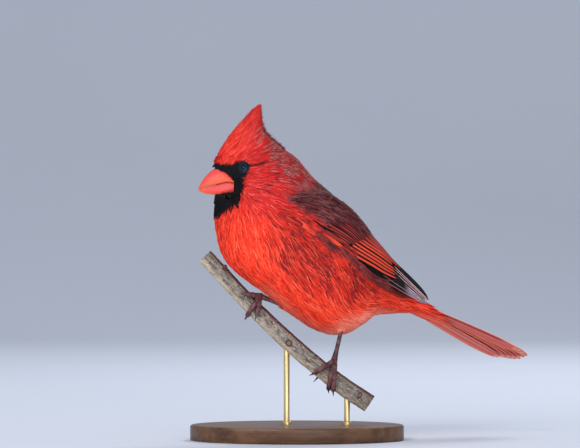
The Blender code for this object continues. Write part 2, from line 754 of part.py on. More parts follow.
def perch_frame(share):
    """Direction down the branch, its upper side and its camera side."""
    along = (perch_point(share + 0.01) - perch_point(share - 0.01)).normalized()
    near = Vector((0, -1, 0))
    top = near.cross(along).normalized()
    top = top if top.z > 0 else -top
    return along, top, near


def round_perch(share, degrees, clearance):
    """A point off the bark: 0 degrees is the upper side, 90 the near side, 180 below."""
    along, top, near = perch_frame(share)
    angle = math.radians(degrees)
    reach = perch_radius(share) + clearance
    return perch_point(share) + (top * math.cos(angle) + near * math.sin(angle)) * reach


def perch_rings(lift=0.0, overrun=0.0):
    rings = []
    for share in np.linspace(-overrun, 1 + overrun, PERCH_RINGS):
        along, top, near = perch_frame(share)
        ring = []
        for k in range(PERCH_SIDES):
            angle = 2 * math.pi * k / PERCH_SIDES
            wobble = 1 + 0.025 * math.sin(3 * angle + 9 * share) + 0.015 * math.sin(17 * share)
            reach = perch_radius(share) * wobble + lift
            ring.append(perch_point(share) + (top * math.cos(angle) + near * math.sin(angle)) * reach)
        rings.append(ring)
    return rings


def make_perch():
    """The cut length of branch, with the stub of a side bud near its high end."""
    perch = new_object("perch", lofted("perch", perch_rings()))
    inside, outside = perch_point(BUD_SHARE), round_perch(BUD_SHARE - 0.012, BUD_DEGREES, BUD_LENGTH * MM)
    path = [mixed(inside, outside, f) for f in (0, 0.5, 0.85, 1)]
    bud = tube("bud", path, [r * BUD_RADIUS * MM for r in (1.3, 1.1, 0.9, 0.45)])
    joined("perch", [perch, bud])
    paint(perch, (0.23, 0.19, 0.15), 0.9)


# A foot stands at a share of the branch's length, its ball raised off the bark and leaning to the near side.
# Each toe: how far down the branch its end lies from the ball, degrees round the branch, claw length.
FEET = {
    "left": {
        "share": 0.660,
        "ball_degrees": 10,
        "ball_clearance": 3.4,
        "toes": {
            "inner": (-4.2, 122, 5.0),
            "middle": (7.6, 152, 5.5),
            "outer": (10.4, 138, 5.2),
            "hind": (-1.0, -118, 7.0),
        },
    },
    "right": {
        "share": 0.253,
        "ball_degrees": 8,
        "ball_clearance": 2.9,
        "toes": {
            "inner": (-5.6, 66, 5.0),
            "middle": (2.6, 146, 6.6),
            "outer": (5.2, 96, 5.2),
            "hind": (2.0, -118, 7.0),
        },
    },
}
FOOT_BALL = (2.1, 2.0, 2.0)
TOE_RADIUS_ROOT, TOE_RADIUS_END = 1.4, 1.1
BARK_CLEARANCE = 0.4
CLAW_RADIUS = 0.85
TARSUS_RADIUS = 1.2
# Where each leg's heel joint lies inside the belly's plumage.
HEELS = {"left": (27.0, -3.0, 69.5), "right": (-3.0, 6.0, 75.8)}
TOE_POINTS = 7


def ball_centre(foot):
    shape = FEET[foot]
    return round_perch(shape["share"], shape["ball_degrees"], shape["ball_clearance"] * MM)


def toe_point(foot, toe, f):
    """A point of a toe's middle line: from the ball down onto the bark and round it, and on past its end."""
    shape = FEET[foot]
    down, degrees, _ = shape["toes"][toe]
    share = shape["share"] + down * f / PERCH_LENGTH
    angle = mixed(shape["ball_degrees"], degrees, f)
    resting = mixed(TOE_RADIUS_ROOT, TOE_RADIUS_END, min(f, 1)) + BARK_CLEARANCE
    settled = min(1.0, f * 2.6)
    lift = mixed(shape["ball_clearance"], resting, settled * settled * (3 - 2 * settled))
    return round_perch(share, angle, lift * MM)


def make_foot(foot):
    """Four toes round the branch from one ball, and a claw on each."""
    pieces = [ball("foot_" + foot, ball_centre(foot), [size * MM for size in FOOT_BALL], 12, 8)]
    for toe in FEET[foot]["toes"]:
        shares = [k / (TOE_POINTS - 1) for k in range(TOE_POINTS)]
        path = [toe_point(foot, toe, f) for f in shares]
        radii = [mixed(TOE_RADIUS_ROOT, TOE_RADIUS_END, f) * MM for f in shares]
        pieces.append(tube("toe", path, radii))
        make_claw(foot, toe, path)
    made = joined("foot_" + foot, pieces)
    paint(made, (0.10, 0.055, 0.05), 0.55)


def make_claw(foot, toe, path):
    """A curved, tapering claw that goes on from the end of a toe."""
    length = FEET[foot]["toes"][toe][2]
    ahead = (path[-1] - path[-2]).normalized()
    share = FEET[foot]["share"] + FEET[foot]["toes"][toe][0] / PERCH_LENGTH
    outward = (path[-1] - perch_point(share)).normalized()
    points, radii = [], []
    for k in range(5):
        f = k / 4
        along = (GAP / MM + length * f) * MM
        arch = (0.9 * f - 1.0 * f**2) * MM
        points.append(path[-1] + ahead * along + outward * (arch + 0.15 * MM))
        radii.append(mixed(CLAW_RADIUS, 0.13, f**0.85) * MM)
    claw = tube("claw_" + foot + "_" + toe, points, radii, 1)
    paint(claw, (0.06, 0.04, 0.035), 0.4)


def make_leg(foot):
    """The scaled shank from the belly's plumage down to the foot, cut clear of both."""
    heel = Vector(HEELS[foot]) * MM
    end = ball_centre(foot)
    path = [mixed(heel, end, f) for f in (0, 0.35, 0.7, 1)]
    radii = [r * TARSUS_RADIUS * MM for r in (1.05, 0.92, 0.98, 1.3)]
    leg = tube("leg_" + foot, path, radii)
    plumage = new_object("plumage_room", lofted("plumage_room", body_rings(7, 14, 0.5, GAP)))
    foot_room = ball("foot_room", end, [(size + 0.35) * MM for size in FOOT_BALL], 12, 8)
    cut_away(leg, [plumage, foot_room])
    paint(leg, (0.11, 0.06, 0.05), 0.55)


def make_legs():
    for foot in ("left", "right"):
        make_foot(foot)
        make_leg(foot)


def make_stand():
    """A flat oval base with a rounded edge, and two rods that carry the branch from below."""
    bpy.ops.mesh.primitive_cylinder_add(
        vertices=36,
        radius=0.5,
        depth=1,
        location=(0, 0, BASE_THICKNESS / 2 * MM),
        scale=(BASE_LENGTH * MM, BASE_DEPTH * MM, BASE_THICKNESS * MM),
    )
    base = adopted("stand_base")
    edge = base.modifiers.new("rounded_edge", "BEVEL")
    edge.width = 1.4 * MM
    edge.segments = 1
    edge.limit_method = "ANGLE"
    paint(base, (0.16, 0.08, 0.04), 0.4)
    for name, x in ROD_PLACES.items():
        top = min((perch_point(share) for share in np.linspace(0, 1, 101)), key=lambda p: abs(p.x - x * MM))
        foot = BASE_THICKNESS * MM + GAP
        bpy.ops.mesh.primitive_cylinder_add(
            vertices=20,
            radius=ROD_RADIUS * MM,
            depth=top.z - foot,
            location=(x * MM, top.y, (top.z + foot) / 2),
        )
        rod = adopted(name)
        cut_away(rod, [new_object("perch_room", lofted("perch_room", perch_rings(GAP, 0.02)))])
        paint(rod, (0.45, 0.38, 0.25), 0.3, 1.0)


def clear_scene():
    """Empties the file and sets up one collection for the parts and one for the cutters."""
    for obj in list(bpy.data.objects):
        bpy.data.objects.remove(obj)
    for name in (PARTS, CUTTERS):
        collection = bpy.data.collections.new(name)
        bpy.context.scene.collection.children.link(collection)


def shade_round_pieces():
    """Smooth shading, with an edge kept sharp where two faces meet at more than the given angle."""
    for obj in bpy.data.collections[PARTS].objects:
        obj.data.shade_smooth()
        obj.data.set_sharp_from_angle(angle=math.radians(38))


def main():
    clear_scene()
    make_trunk()
    cap = make_head()
    make_crest(cap)
    make_eyes()
    make_bill()
    make_wing(1, "wing_left")
    make_wing(-1, "wing_right")
    make_tail()
    make_perch()
    make_legs()
    make_stand()
    shade_round_pieces()


main()
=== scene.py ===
# %% [markdown]
# # A male northern cardinal, life size
#
# The bird grips a short cut length of slanting branch on a plain stand. The solids that carry the shape
# come from the frame; here they get their plumage, skin, horn, bark and wood. Most of a bird's look is the
# way its feathers lie, so the lesson spends most of its cells on laying many small blades along a curved
# body.

# %% Load the frame
import math

import bpy
import numpy as np
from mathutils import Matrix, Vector, noise


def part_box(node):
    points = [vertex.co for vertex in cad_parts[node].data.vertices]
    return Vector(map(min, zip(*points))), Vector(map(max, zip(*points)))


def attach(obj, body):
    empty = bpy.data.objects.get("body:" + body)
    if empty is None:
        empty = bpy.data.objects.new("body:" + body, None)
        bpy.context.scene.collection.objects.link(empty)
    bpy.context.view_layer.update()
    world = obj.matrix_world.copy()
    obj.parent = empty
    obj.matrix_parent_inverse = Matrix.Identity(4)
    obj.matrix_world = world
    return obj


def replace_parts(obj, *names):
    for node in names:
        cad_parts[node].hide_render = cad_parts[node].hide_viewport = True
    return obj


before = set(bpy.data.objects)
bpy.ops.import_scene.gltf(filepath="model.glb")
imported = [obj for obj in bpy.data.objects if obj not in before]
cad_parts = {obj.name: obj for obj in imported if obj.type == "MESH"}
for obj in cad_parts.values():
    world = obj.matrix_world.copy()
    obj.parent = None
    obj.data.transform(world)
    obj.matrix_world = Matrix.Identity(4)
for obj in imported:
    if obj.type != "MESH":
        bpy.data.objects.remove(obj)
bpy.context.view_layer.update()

MM = 0.001
DRAW = np.random.default_rng(11)

# %% [markdown]
# ## The body as a surface to walk on
#
# A bird's outline is a row of slanted ovals from the bill to the tail. A Catmull-Rom curve through such a
# table gives a smooth body at any place between two ovals, and a feather can then be laid by walking over
# that surface. Sculpting by hand would look as good but could not be asked where its left flank is.

# %% The sections of the body
# back (x, z), belly (x, z), half widths of the upper and lower half, heading in degrees, all in millimetres
BODY_SECTIONS = [
    ((-48.3, 160.4), (-45.0, 143.0), 3.2, 3.0, 6),
    ((-41.5, 167.0), (-47.2, 137.0), 5.8, 5.4, 6),
    ((-32.0, 171.0), (-47.8, 132.0), 8.6, 7.8, 7),
    ((-21.5, 172.0), (-47.6, 128.0), 12.4, 13.0, 8),
    ((-10.5, 169.4), (-46.8, 124.0), 15.2, 18.0, 10),
    ((-1.0, 163.5), (-45.6, 118.0), 18.6, 22.6, 13),
    ((9.0, 151.6), (-43.4, 110.6), 22.4, 26.4, 16),
    ((18.5, 143.2), (-39.2, 102.8), 26.0, 29.6, 18),
    ((27.0, 135.0), (-31.0, 95.0), 28.6, 31.6, 18),
    ((33.5, 127.0), (-21.8, 88.4), 29.6, 32.2, 18),
    ((39.5, 118.0), (-10.4, 79.8), 28.6, 31.2, 18),
    ((45.0, 110.0), (1.2, 70.6), 25.4, 29.2, 19),
    ((49.5, 102.0), (12.9, 63.4), 20.8, 25.6, 20),
    ((53.5, 95.0), (26.5, 61.6), 16.4, 20.4, 21),
    ((57.6, 89.4), (41.0, 71.2), 12.2, 14.0, 22),
    ((62.5, 85.0), (55.5, 73.4), 9.2, 10.0, 23),
    ((69.0, 81.9), (66.6, 73.4), 7.0, 7.2, 24),
    ((79.0, 77.2), (77.4, 72.6), 4.2, 4.2, 24),
]
# From this section on the folded wings stand over the back by so much, with their own half width.
WING_SECTIONS_FROM = 6
WING_SECTIONS = [
    (1.6, 24.6), (1.9, 28.4), (2.1, 31.0), (2.4, 32.0), (3.0, 31.0), (3.8, 28.4), (5.2, 25.0),
    (6.8, 21.4), (7.6, 17.8), (6.8, 14.6), (4.8, 11.8), (2.4, 9.4),
]


def spline(rows, place):
    """Smooth values of a table at places counted in rows, running straight on past its ends."""
    place = np.asarray(place, float)
    last = len(rows) - 1
    i = np.clip(np.floor(place).astype(int), 0, last - 1)
    f = (place - i)[..., None]
    p1, p2 = rows[i], rows[i + 1]
    p0 = np.where((i > 0)[..., None], rows[np.maximum(i - 1, 0)], 2 * p1 - p2)
    p3 = np.where((i + 2 <= last)[..., None], rows[np.minimum(i + 2, last)], 2 * p2 - p1)
    bend = (2 * p0 - 5 * p1 + 4 * p2 - p3) * f**2 + (3 * p1 - p0 - 3 * p2 + p3) * f**3
    curve = 0.5 * (2 * p1 + (p2 - p0) * f + bend)
    return np.where((f < 0) | (f > 1), p1 + (p2 - p1) * f, curve)


def spine_table():
    """Each section as centre x, y, z, half height x, z, two half widths and heading."""
    rows, depth, before = [], 0.0, None
    for back, belly, upper, lower, heading in BODY_SECTIONS:
        x, z = (back[0] + belly[0]) / 2, (back[1] + belly[1]) / 2
        if before is not None:
            depth += (x - before) * math.tan(math.radians(heading))
        before = x
        rows.append([x, depth, z, back[0] - x, back[1] - z, upper, lower, heading])
    rows = np.array(rows)
    rows[:, 1] -= rows[8, 1]
    return rows


def wing_table(spine):
    """The same sections grown to the surface on which the folded wings lie."""
    rows = spine.copy()
    for row, (lift, half_width) in zip(rows[WING_SECTIONS_FROM:], WING_SECTIONS):
        grown = 1 + lift / math.hypot(row[3], row[4])
        row[3] *= grown
        row[4] *= grown
        row[5] = half_width
    return rows


SPINE = spine_table()
WING_SPINE = wing_table(SPINE)


def on_sections(table, place, degrees, lift=0.0):
    """Points of the body: 0 degrees is the back, 90 the left side, 180 the belly, minus the right side."""
    place, degrees = np.broadcast_arrays(np.asarray(place, float), np.asarray(degrees, float))
    x, y, z, up_x, up_z, upper, lower, heading = np.moveaxis(spline(table, place), -1, 0)
    turn, angle = np.radians(heading), np.radians(degrees)
    centre = np.stack([x, y, z], -1) * MM
    back = np.stack([up_x, up_x * np.tan(turn), up_z], -1) * MM
    left = np.stack([np.sin(turn), -np.cos(turn), 0 * turn], -1)
    half = (lower + (upper - lower) * (0.5 + 0.5 * np.cos(angle))) * MM + lift
    grown = back * (1 + lift / np.linalg.norm(back, axis=-1))[..., None]
    return centre + grown * np.cos(angle)[..., None] + left * (half * np.sin(angle))[..., None]


def body(place, degrees):
    return on_sections(SPINE, place, degrees)


def wing(place, degrees):
    return on_sections(WING_SPINE, place, degrees)


print("body runs from", np.round(body(0, 0) / MM, 1), "to", np.round(body(17, 0) / MM, 1), "mm")

# %% [markdown]
# ## Where the wings lie
#
# A folded wing is a pad of feathers on the flank. The small feathers of breast and back run up onto it
# without a step, so one more surface is needed: the body, swelling smoothly to the wing's surface inside
# the wing's outline.

# %% The dressed surface
# places along the body, and the wing's upper and lower edge there in degrees
WING_EDGE_PLACES = (5.4, 6.2, 6.6, 7.2, 8, 9, 10, 11, 12.4, 14)
WING_EDGE_UPPER = (60, 46, 32, 24, 18, 16, 18, 24, 34, 40)
WING_EDGE_LOWER = (62, 70, 74, 76, 76, 74, 71, 67, 60, 52)
# outline of the bare bill seen from the left: x and z in millimetres
BILL_BARE = [
    (-47.7, 157.4), (-44.9, 155.2), (-41.6, 153.9), (-38.6, 151.2), (-36.4, 149.2), (-36.2, 145.4),
    (-37.0, 142.4), (-41.8, 141.6), (-48.1, 141.6), (-60.0, 142.0), (-60.0, 150.0), (-54.0, 156.5),
]
BILL_HALF_WIDTH = 6.6
# how far the back's feathers lie over the wing's own surface, to clear the coverts below them
COVERTS_DEPTH = 0.9 * MM


def unit(vectors):
    """The same directions with a length of 1."""
    return vectors / np.linalg.norm(vectors, axis=-1, keepdims=True)


def smooth(value):
    """0 below 0, 1 above 1, and an even slope between."""
    value = np.clip(value, 0, 1)
    return value * value * (3 - 2 * value)


def outline_distance(outline, x, z):
    """Distance from points to an outline in its plane, below 0 inside it."""
    best = np.full(np.shape(x), 1e9)
    inside = np.zeros(np.shape(x), bool)
    for (ax, az), (bx, bz) in zip(outline, outline[1:] + outline[:1]):
        dx, dz = bx - ax, bz - az
        share = np.clip(((x - ax) * dx + (z - az) * dz) / (dx * dx + dz * dz), 0, 1)
        best = np.minimum(best, np.hypot(x - ax - share * dx, z - az - share * dz))
        crosses = (az > z) != (bz > z)
        inside ^= crosses & (x < ax + (z - az) * dx / np.where(dz == 0, 1e-9, dz))
    return np.where(inside, -best, best)


HEAD_TURN = math.radians(BODY_SECTIONS[1][4])
HEAD_LEFT = np.array([math.sin(HEAD_TURN), -math.cos(HEAD_TURN), 0.0])


def narrowed_to_bill(points):
    """The face drawn in beside the bill, so that the horn and not the feathers is the widest there."""
    beside = (points - SPINE[2, :3] * MM) @ HEAD_LEFT / MM
    away = outline_distance(BILL_BARE, points[..., 0] / MM, points[..., 2] / MM)
    limit = BILL_HALF_WIDTH - 0.9 + 1.4 * np.maximum(0, away + 0.6)
    size = np.abs(beside)
    drawn = -0.7 * np.logaddexp(-size / 0.7, -limit / 0.7)
    moved = np.where(size > 2, np.minimum(0, drawn - size) * np.sign(beside), 0)
    return points + HEAD_LEFT * moved[..., None] * MM


def wing_edges(place):
    """The wing's upper and lower edge in degrees."""
    upper = np.interp(place, WING_EDGE_PLACES, WING_EDGE_UPPER)
    return upper, np.interp(place, WING_EDGE_PLACES, WING_EDGE_LOWER)


def wing_share(place, degrees):
    """1 on the folded wings, 0 off them."""
    turned = np.abs((np.asarray(degrees) + 180) % 360 - 180)
    upper, lower = wing_edges(place)
    ends = smooth((place - 5.4) / 1.4) * smooth((13.6 - place) / 1.4)
    return smooth((turned - upper + 7) / 16) * smooth((lower + 9 - turned) / 9) * ends


def bare_body(place, degrees):
    return narrowed_to_bill(body(place, degrees))


def dressed(place, degrees):
    share = wing_share(place, degrees)[..., None]
    over_wing = on_sections(WING_SPINE, place, degrees, COVERTS_DEPTH)
    return narrowed_to_bill(body(place, degrees) * (1 - share) + over_wing * share)


def slopes(surface, place, degrees):
    """Surface vectors per unit of place and per degree, and the outward normal."""
    along = (surface(place + 0.03, degrees) - surface(place - 0.03, degrees)) / 0.06
    around = surface(place, degrees + 0.5) - surface(place, degrees - 0.5)
    normal = np.cross(along, around)
    normal = unit(normal)
    outward = surface(place, degrees) - surface(place, degrees + 180)
    sign = np.sign(np.sum(normal * outward, -1, keepdims=True))
    return along, around, normal * sign


def step_on(surface, place, degrees, direction, distance):
    """The place and degrees reached by going a distance over the surface in a direction in space."""
    along, around, _ = slopes(surface, place, degrees)
    length = np.linalg.norm(along, axis=-1)
    forward = along / length[..., None]
    skew = np.sum(around * forward, -1)
    square = around - forward * skew[..., None]
    width = np.linalg.norm(square, axis=-1)
    go_square = np.sum(direction * square, -1) / width * distance
    go_along = np.sum(direction * forward, -1) * distance
    turned = go_square / width
    return place + (go_along - turned * skew) / length, degrees + turned


print("wing stands", np.round(np.linalg.norm(wing(10, 45) - body(10, 45)) / MM, 1), "mm over the flank")

# %% [markdown]
# ## From arrays to a piece
#
# Thousands of small blades are far too many for one object each. Points and faces are worked out as arrays
# and handed to one mesh at a time. Beside its shape each point keeps a few numbers, such as how far along
# its feather it lies, which the materials read later. The map named OFBake gives each tuft its own small
# patch at its root's place on an unwrap of the body.

# %% Mesh from arrays
PIECES = []


def linked(name, data):
    """An object for a mesh, a lamp or a camera, in the scene."""
    obj = bpy.data.objects.new(name, data)
    bpy.context.scene.collection.objects.link(obj)
    return obj


def riding(obj):
    """Lets a piece ride on the frame's one body."""
    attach(obj, "root")
    PIECES.append(obj)
    return obj


def mesh_piece(name, points, faces, slot, uv=None, normals=None, **numbers):
    """An object from arrays that rides on the frame's one body."""
    mesh = bpy.data.meshes.new(name)
    mesh.vertices.add(len(points))
    mesh.vertices.foreach_set("co", np.ascontiguousarray(points, np.float32).ravel())
    mesh.loops.add(faces.size)
    mesh.loops.foreach_set("vertex_index", faces.astype(np.int32).ravel())
    mesh.polygons.add(len(faces))
    mesh.polygons.foreach_set("loop_start", np.arange(0, faces.size, faces.shape[1], dtype=np.int32))
    mesh.update(calc_edges=True)
    if uv is not None:
        layer = mesh.uv_layers.new(name="OFBake")
        layer.uv.foreach_set("vector", uv[faces.ravel()].astype(np.float32).ravel())
    for key, values in numbers.items():
        data = mesh.attributes.new(key, "FLOAT", "POINT").data
        data.foreach_set("value", np.ascontiguousarray(values, np.float32).ravel())
    mesh.shade_smooth()
    if normals is not None:
        mesh.normals_split_custom_set_from_vertices(normals)
    return riding(linked(name, mesh))


def grid_faces(rows, columns, closed=True):
    """Faces of a grid of points, row by row, that closes on itself across its columns."""
    r = np.arange(rows - 1)[:, None]
    c = np.arange(columns if closed else columns - 1)[None, :]
    after = (c + 1) % columns
    corners = [r * columns + c, r * columns + after, (r + 1) * columns + after, (r + 1) * columns + c]
    return np.stack([np.broadcast_to(k, (rows - 1, c.size)) for k in corners], -1).reshape(-1, 4)


def lofted(rings):
    """Points and triangles of a closed skin over rings, each end closed by a fan."""
    rows, columns = rings.shape[:2]
    points = np.concatenate([rings.reshape(-1, 3), rings[0].mean(0)[None], rings[-1].mean(0)[None]])
    quads = grid_faces(rows, columns)
    faces = np.concatenate([quads[:, [0, 1, 2]], quads[:, [0, 2, 3]]])
    ring = np.arange(columns)
    after = (ring + 1) % columns
    first, last = rows * columns, rows * columns + 1
    start = np.stack([np.full(columns, first), after, ring], -1)
    base = (rows - 1) * columns
    end = np.stack([np.full(columns, last), base + ring, base + after], -1)
    return points, np.concatenate([faces, start, end])


# %% [markdown]
# ## The markings
#
# A cardinal is a red bird with a few large fields of other colours: the black mask round the bill, a
# grey-brown wash on the nape, maroon back and shoulders, darker streaked flanks and a pale vent. Near the
# wing the flanks are partly darkened by painted shade, and the vent is brightened by painted light from
# below, most along the lowest line of the belly. Two more fields are painted shade only: under the wing's
# edges, and in fine creases of the face. Skin and coat both ask this one function, so a gap between feathers
# shows the same colour as the feathers round it.

# %% Fields of colour on the body
# Outlines as the left side shows them: x and z in millimetres.
MASK_OUTLINE = [
    (-52.0, 161.6), (-48.7, 160.9), (-43.5, 159.8), (-37.9, 159.3), (-34.6, 161.3), (-31.0, 161.4),
    (-27.6, 158.6), (-28.4, 155.0), (-30.0, 151.0), (-30.4, 146.5), (-32.3, 141.0), (-34.0, 135.7),
    (-38.9, 132.8), (-44.7, 129.6), (-52.0, 126.4),
]
NAPE_OUTLINE = [
    (-21.5, 182.0), (-15.7, 177.5), (1.7, 167.0), (16.2, 148.5), (8.7, 144.4), (-0.6, 144.4),
    (-7.5, 150.8), (-13.3, 158.9), (-18.0, 168.2), (-22.5, 175.2),
]
MANTLE_OUTLINE = [
    (-7.5, 140.5), (-0.6, 144.2), (7.0, 145.4), (13.3, 152.8), (24.9, 147.8), (36.5, 136.2),
    (52.1, 117.2), (60.0, 100.0), (52.0, 104.0), (43.5, 112.7), (37.7, 115.3), (30.7, 117.8),
    (22.6, 121.2), (14.5, 125.9), (8.7, 130.1), (1.7, 134.1), (-5.2, 138.0),
]
FLANK_OUTLINE = [
    (-16.0, 131.0), (-6.0, 135.0), (6.0, 132.0), (17.0, 124.0), (27.0, 116.0), (38.0, 107.0),
    (50.0, 98.0), (56.0, 90.0), (44.0, 83.5), (31.9, 80.5), (20.0, 82.0), (6.0, 88.0), (-8.0, 97.0),
    (-16.0, 106.0), (-13.0, 118.0),
]
# painted shade under the lower edge of the wing
SHADE_OUTLINE = [
    (27.0, 111.0), (34.0, 107.1), (44.3, 103.5), (57.1, 97.1), (64.1, 91.5), (67.5, 84.7), (61.7, 82.5),
    (51.0, 86.6), (40.2, 94.1), (30.2, 103.9),
]
PALE_OUTLINE = [
    (1.7, 58.0), (10.0, 62.5), (20.0, 67.0), (29.0, 71.5), (38.0, 75.0), (46.0, 75.5), (60.0, 72.5),
    (76.0, 71.0), (94.0, 65.5), (90.0, 50.0), (60.0, 58.0), (40.0, 60.0), (24.0, 52.0),
]
# lowest line of breast and belly: x and z
KEEL_LINE = ((-20.0, -10.0, 1.7, 13.3, 22.0, 40.0), (89.0, 81.0, 70.8, 63.8, 61.5, 66.0))
# painted shade in the hollow under the front edge of the wing
HOLLOW_SHADE_OUTLINE = [
    (7.5, 123.6), (13.2, 120.4), (18.3, 115.8), (27.6, 110.6), (35.0, 105.0), (31.0, 104.4),
    (24.0, 107.8), (16.0, 113.4),
]
# painted shade in fine creases of the face: behind the eye, and behind the ear
CREASES = [
    [(-27.0, 158.6), (-22.6, 159.4), (-17.4, 161.4)],
    [(-12.4, 154.6), (-12.8, 150.8), (-14.8, 147.9), (-19.5, 145.6)],
]


def seen_from_left(points, place):
    """x and z of points in millimetres, with those of the right half where the left half shows them."""
    row = spline(SPINE, place)
    turn = np.radians(row[..., 7])
    left = np.stack([np.sin(turn), -np.cos(turn), 0 * turn], -1)
    off = np.sum((points / MM - row[..., :3]) * left, -1)
    return points[..., 0] / MM + 2 * np.maximum(0, -off) * np.sin(turn), points[..., 2] / MM


def within(outline, x, z, softness):
    """1 inside an outline, 0 outside, with a soft edge in millimetres."""
    return smooth(0.5 - outline_distance(outline, x, z) / softness)


def line_distance(line, x, z):
    spans = [outline_distance([a, b], x, z) for a, b in zip(line, line[1:])]
    return np.abs(np.min(np.abs(spans), axis=0))


def markings(points, place):
    """How much of each field of colour lies at these points, from 0 to 1."""
    x, z = seen_from_left(points, place)
    crease = np.min([line_distance(line, x, z) for line in CREASES], axis=0)
    # painted light from below along the lowest line of breast and belly
    rim = smooth(1 - (z - np.interp(x, *KEEL_LINE)) / 6) * smooth((x + 24) / 8)
    shoulders = smooth((place - 6.4) / 1.5) * smooth((z - np.interp(x, (5, 20, 40, 60), (136, 130, 110, 92))) / 6)
    return {
        "mask": within(MASK_OUTLINE, x, z, 1.2),
        "nape": within(NAPE_OUTLINE, x, z, 9.0),
        "mantle": np.maximum(within(MANTLE_OUTLINE, x, z, 10.0), shoulders * 0.9),
        "flank": within(FLANK_OUTLINE, x, z, 14.0),
        # painted shade under the wing's lower and front edges
        "shade": np.maximum(within(SHADE_OUTLINE, x, z, 5.0), within(HOLLOW_SHADE_OUTLINE, x, z, 3.0)),
        "pale": np.maximum(within(PALE_OUTLINE, x, z, 8.0), rim * 0.4),
        "cool": smooth((z - 116) / 26) * (0.5 + 0.5 * smooth((x + 38) / 16)),
        # painted shade along the creases
        "crease": smooth(1.25 - crease),
    }

# %% [markdown]
# ## Skin under the feathers
#
# Under its coat the real bird is bare grey-pink skin, but what shows between feathers is always the down of
# the next ones. So one closed skin runs inside the coat from the bill to the root of the tail in the coat's
# colours.

# %% Skin
COAT_DEPTH_PLACES = (0, 1.5, 4, 8, 14, 17)
COAT_DEPTH = (0.7, 1.0, 1.7, 2.2, 2.0, 1.2)
PLACE_COUNT = len(BODY_SECTIONS) - 1


def unwrap(place, degrees):
    """Where a point of the skin lies on the skin's own unwrap."""
    return np.stack([(np.asarray(degrees) % 360) / 360 * 0.98 + 0.01, place / PLACE_COUNT * 0.96 + 0.02], -1)


def make_skin(rows=150, columns=96):
    place = np.linspace(0.02, PLACE_COUNT - 0.2, rows)[:, None] + np.zeros(columns)
    degrees = np.linspace(0, 360, columns, endpoint=False)[None, :] + np.zeros((rows, 1))
    depth = np.interp(place, COAT_DEPTH_PLACES, COAT_DEPTH) * MM
    on_top = bare_body(place, degrees)
    points, faces = lofted(on_top - slopes(bare_body, place, degrees)[2] * depth[..., None])
    ends = np.array([[0.02, 0.0], [PLACE_COUNT - 0.2, 0.0]])
    place, degrees = np.append(place.ravel(), ends[:, 0]), np.append(degrees.ravel(), ends[:, 1])
    nothing = np.zeros(len(points))
    numbers = dict(along=nothing + 0.35, tone=nothing + 0.5, fleck=nothing + 0.2, **markings(points, place))
    skin = mesh_piece("skin", points, faces, "plumage", unwrap(place, degrees), **numbers)
    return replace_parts(skin, "head", "neck", "torso")


SKIN = make_skin()
print("skin of", len(SKIN.data.polygons), "triangles")

# %% [markdown]
# ## The coat
#
# A body feather ends in a fringe of loose barbs that cling in narrow points, and at arm's length the eye
# sees the points and not the feather. Each feather is therefore a fan of slim closed blades from one root.
# Particle hair would be quicker to make but is lost in an exported model, so the blades are real mesh.
# Roots are scattered so that no two are nearer than the local spacing, which is small on the face and wide
# on the belly.

# %% Roots of the body feathers
# places along the body, and there: spacing of the feathers, their length and width, in millimetres
COAT_PLACES = (0.0, 0.8, 2.0, 3.2, 4.5, 6.0, 8.0, 10.0, 12.0, 14.0, 17.0)
COAT_SPACING = (0.8, 0.9, 1.15, 1.45, 1.75, 2.05, 2.3, 2.4, 2.35, 2.1, 1.9)
COAT_LENGTH = (1.8, 2.6, 3.8, 5.2, 7.2, 9.0, 10.6, 11.4, 11.4, 11.6, 12.0)
COAT_WIDTH = (1.1, 1.4, 1.9, 2.5, 3.1, 3.7, 4.2, 4.4, 4.4, 4.1, 3.6)
CANDIDATES_PER_ROOT = 7
# the part of the folded wing where its own feathers lie open, as the left side shows it
WING_SHOWN = [
    (8.7, 124.6), (12.2, 126.2), (22.0, 126.4), (31.9, 126.4), (35.4, 124.1), (38.9, 120.6),
    (43.2, 120.6), (57.1, 113.2), (84.9, 84.2), (82.6, 74.6), (76.6, 77.1), (69.5, 79.6), (63.0, 83.6),
    (56.1, 89.9), (45.2, 94.0), (37.1, 101.5), (27.6, 110.8), (18.3, 116.0), (13.2, 120.9),
]


def scattered_roots(surface, first, last, spacing_of, keep):
    """Random places and degrees, evenly thick over the surface and never nearer than the local spacing."""
    places = np.linspace(first, last, 200)
    sides = np.linspace(-180, 180, 144, endpoint=False) + 1.25
    place, degrees = np.meshgrid(places, sides, indexing="ij")
    along, around, _ = slopes(surface, place, degrees)
    cell = (last - first) / 200 * 2.5
    area = np.linalg.norm(np.cross(along, around), axis=-1) * cell
    crowd = area / (spacing_of(place) * MM) ** 2
    count = int(crowd.sum() * CANDIDATES_PER_ROOT * 0.7)
    chosen = DRAW.choice(crowd.size, count, p=(crowd / crowd.sum()).ravel())
    place = place.ravel()[chosen] + DRAW.uniform(-0.5, 0.5, count) * (last - first) / 200
    degrees = degrees.ravel()[chosen] + DRAW.uniform(-0.5, 0.5, count) * 2.5
    points = surface(place, degrees)
    wanted = keep(place, degrees, points)
    place, degrees, points = place[wanted], degrees[wanted], points[wanted]
    gaps = spacing_of(place) * MM
    cells = np.floor(points / gaps.max()).astype(int).tolist()
    grid, kept = {}, []
    points, gaps = points.tolist(), (gaps**2).tolist()
    for i, (cx, cy, cz) in enumerate(cells):
        x, y, z = points[i]
        gap = gaps[i]
        free = True
        for key in ((cx + a, cy + b, cz + c) for a in (-1, 0, 1) for b in (-1, 0, 1) for c in (-1, 0, 1)):
            for qx, qy, qz in grid.get(key, ()):
                if (x - qx) ** 2 + (y - qy) ** 2 + (z - qz) ** 2 < gap:
                    free = False
                    break
            if not free:
                break
        if free:
            grid.setdefault((cx, cy, cz), []).append((x, y, z))
            kept.append(i)
    return place[kept], degrees[kept]


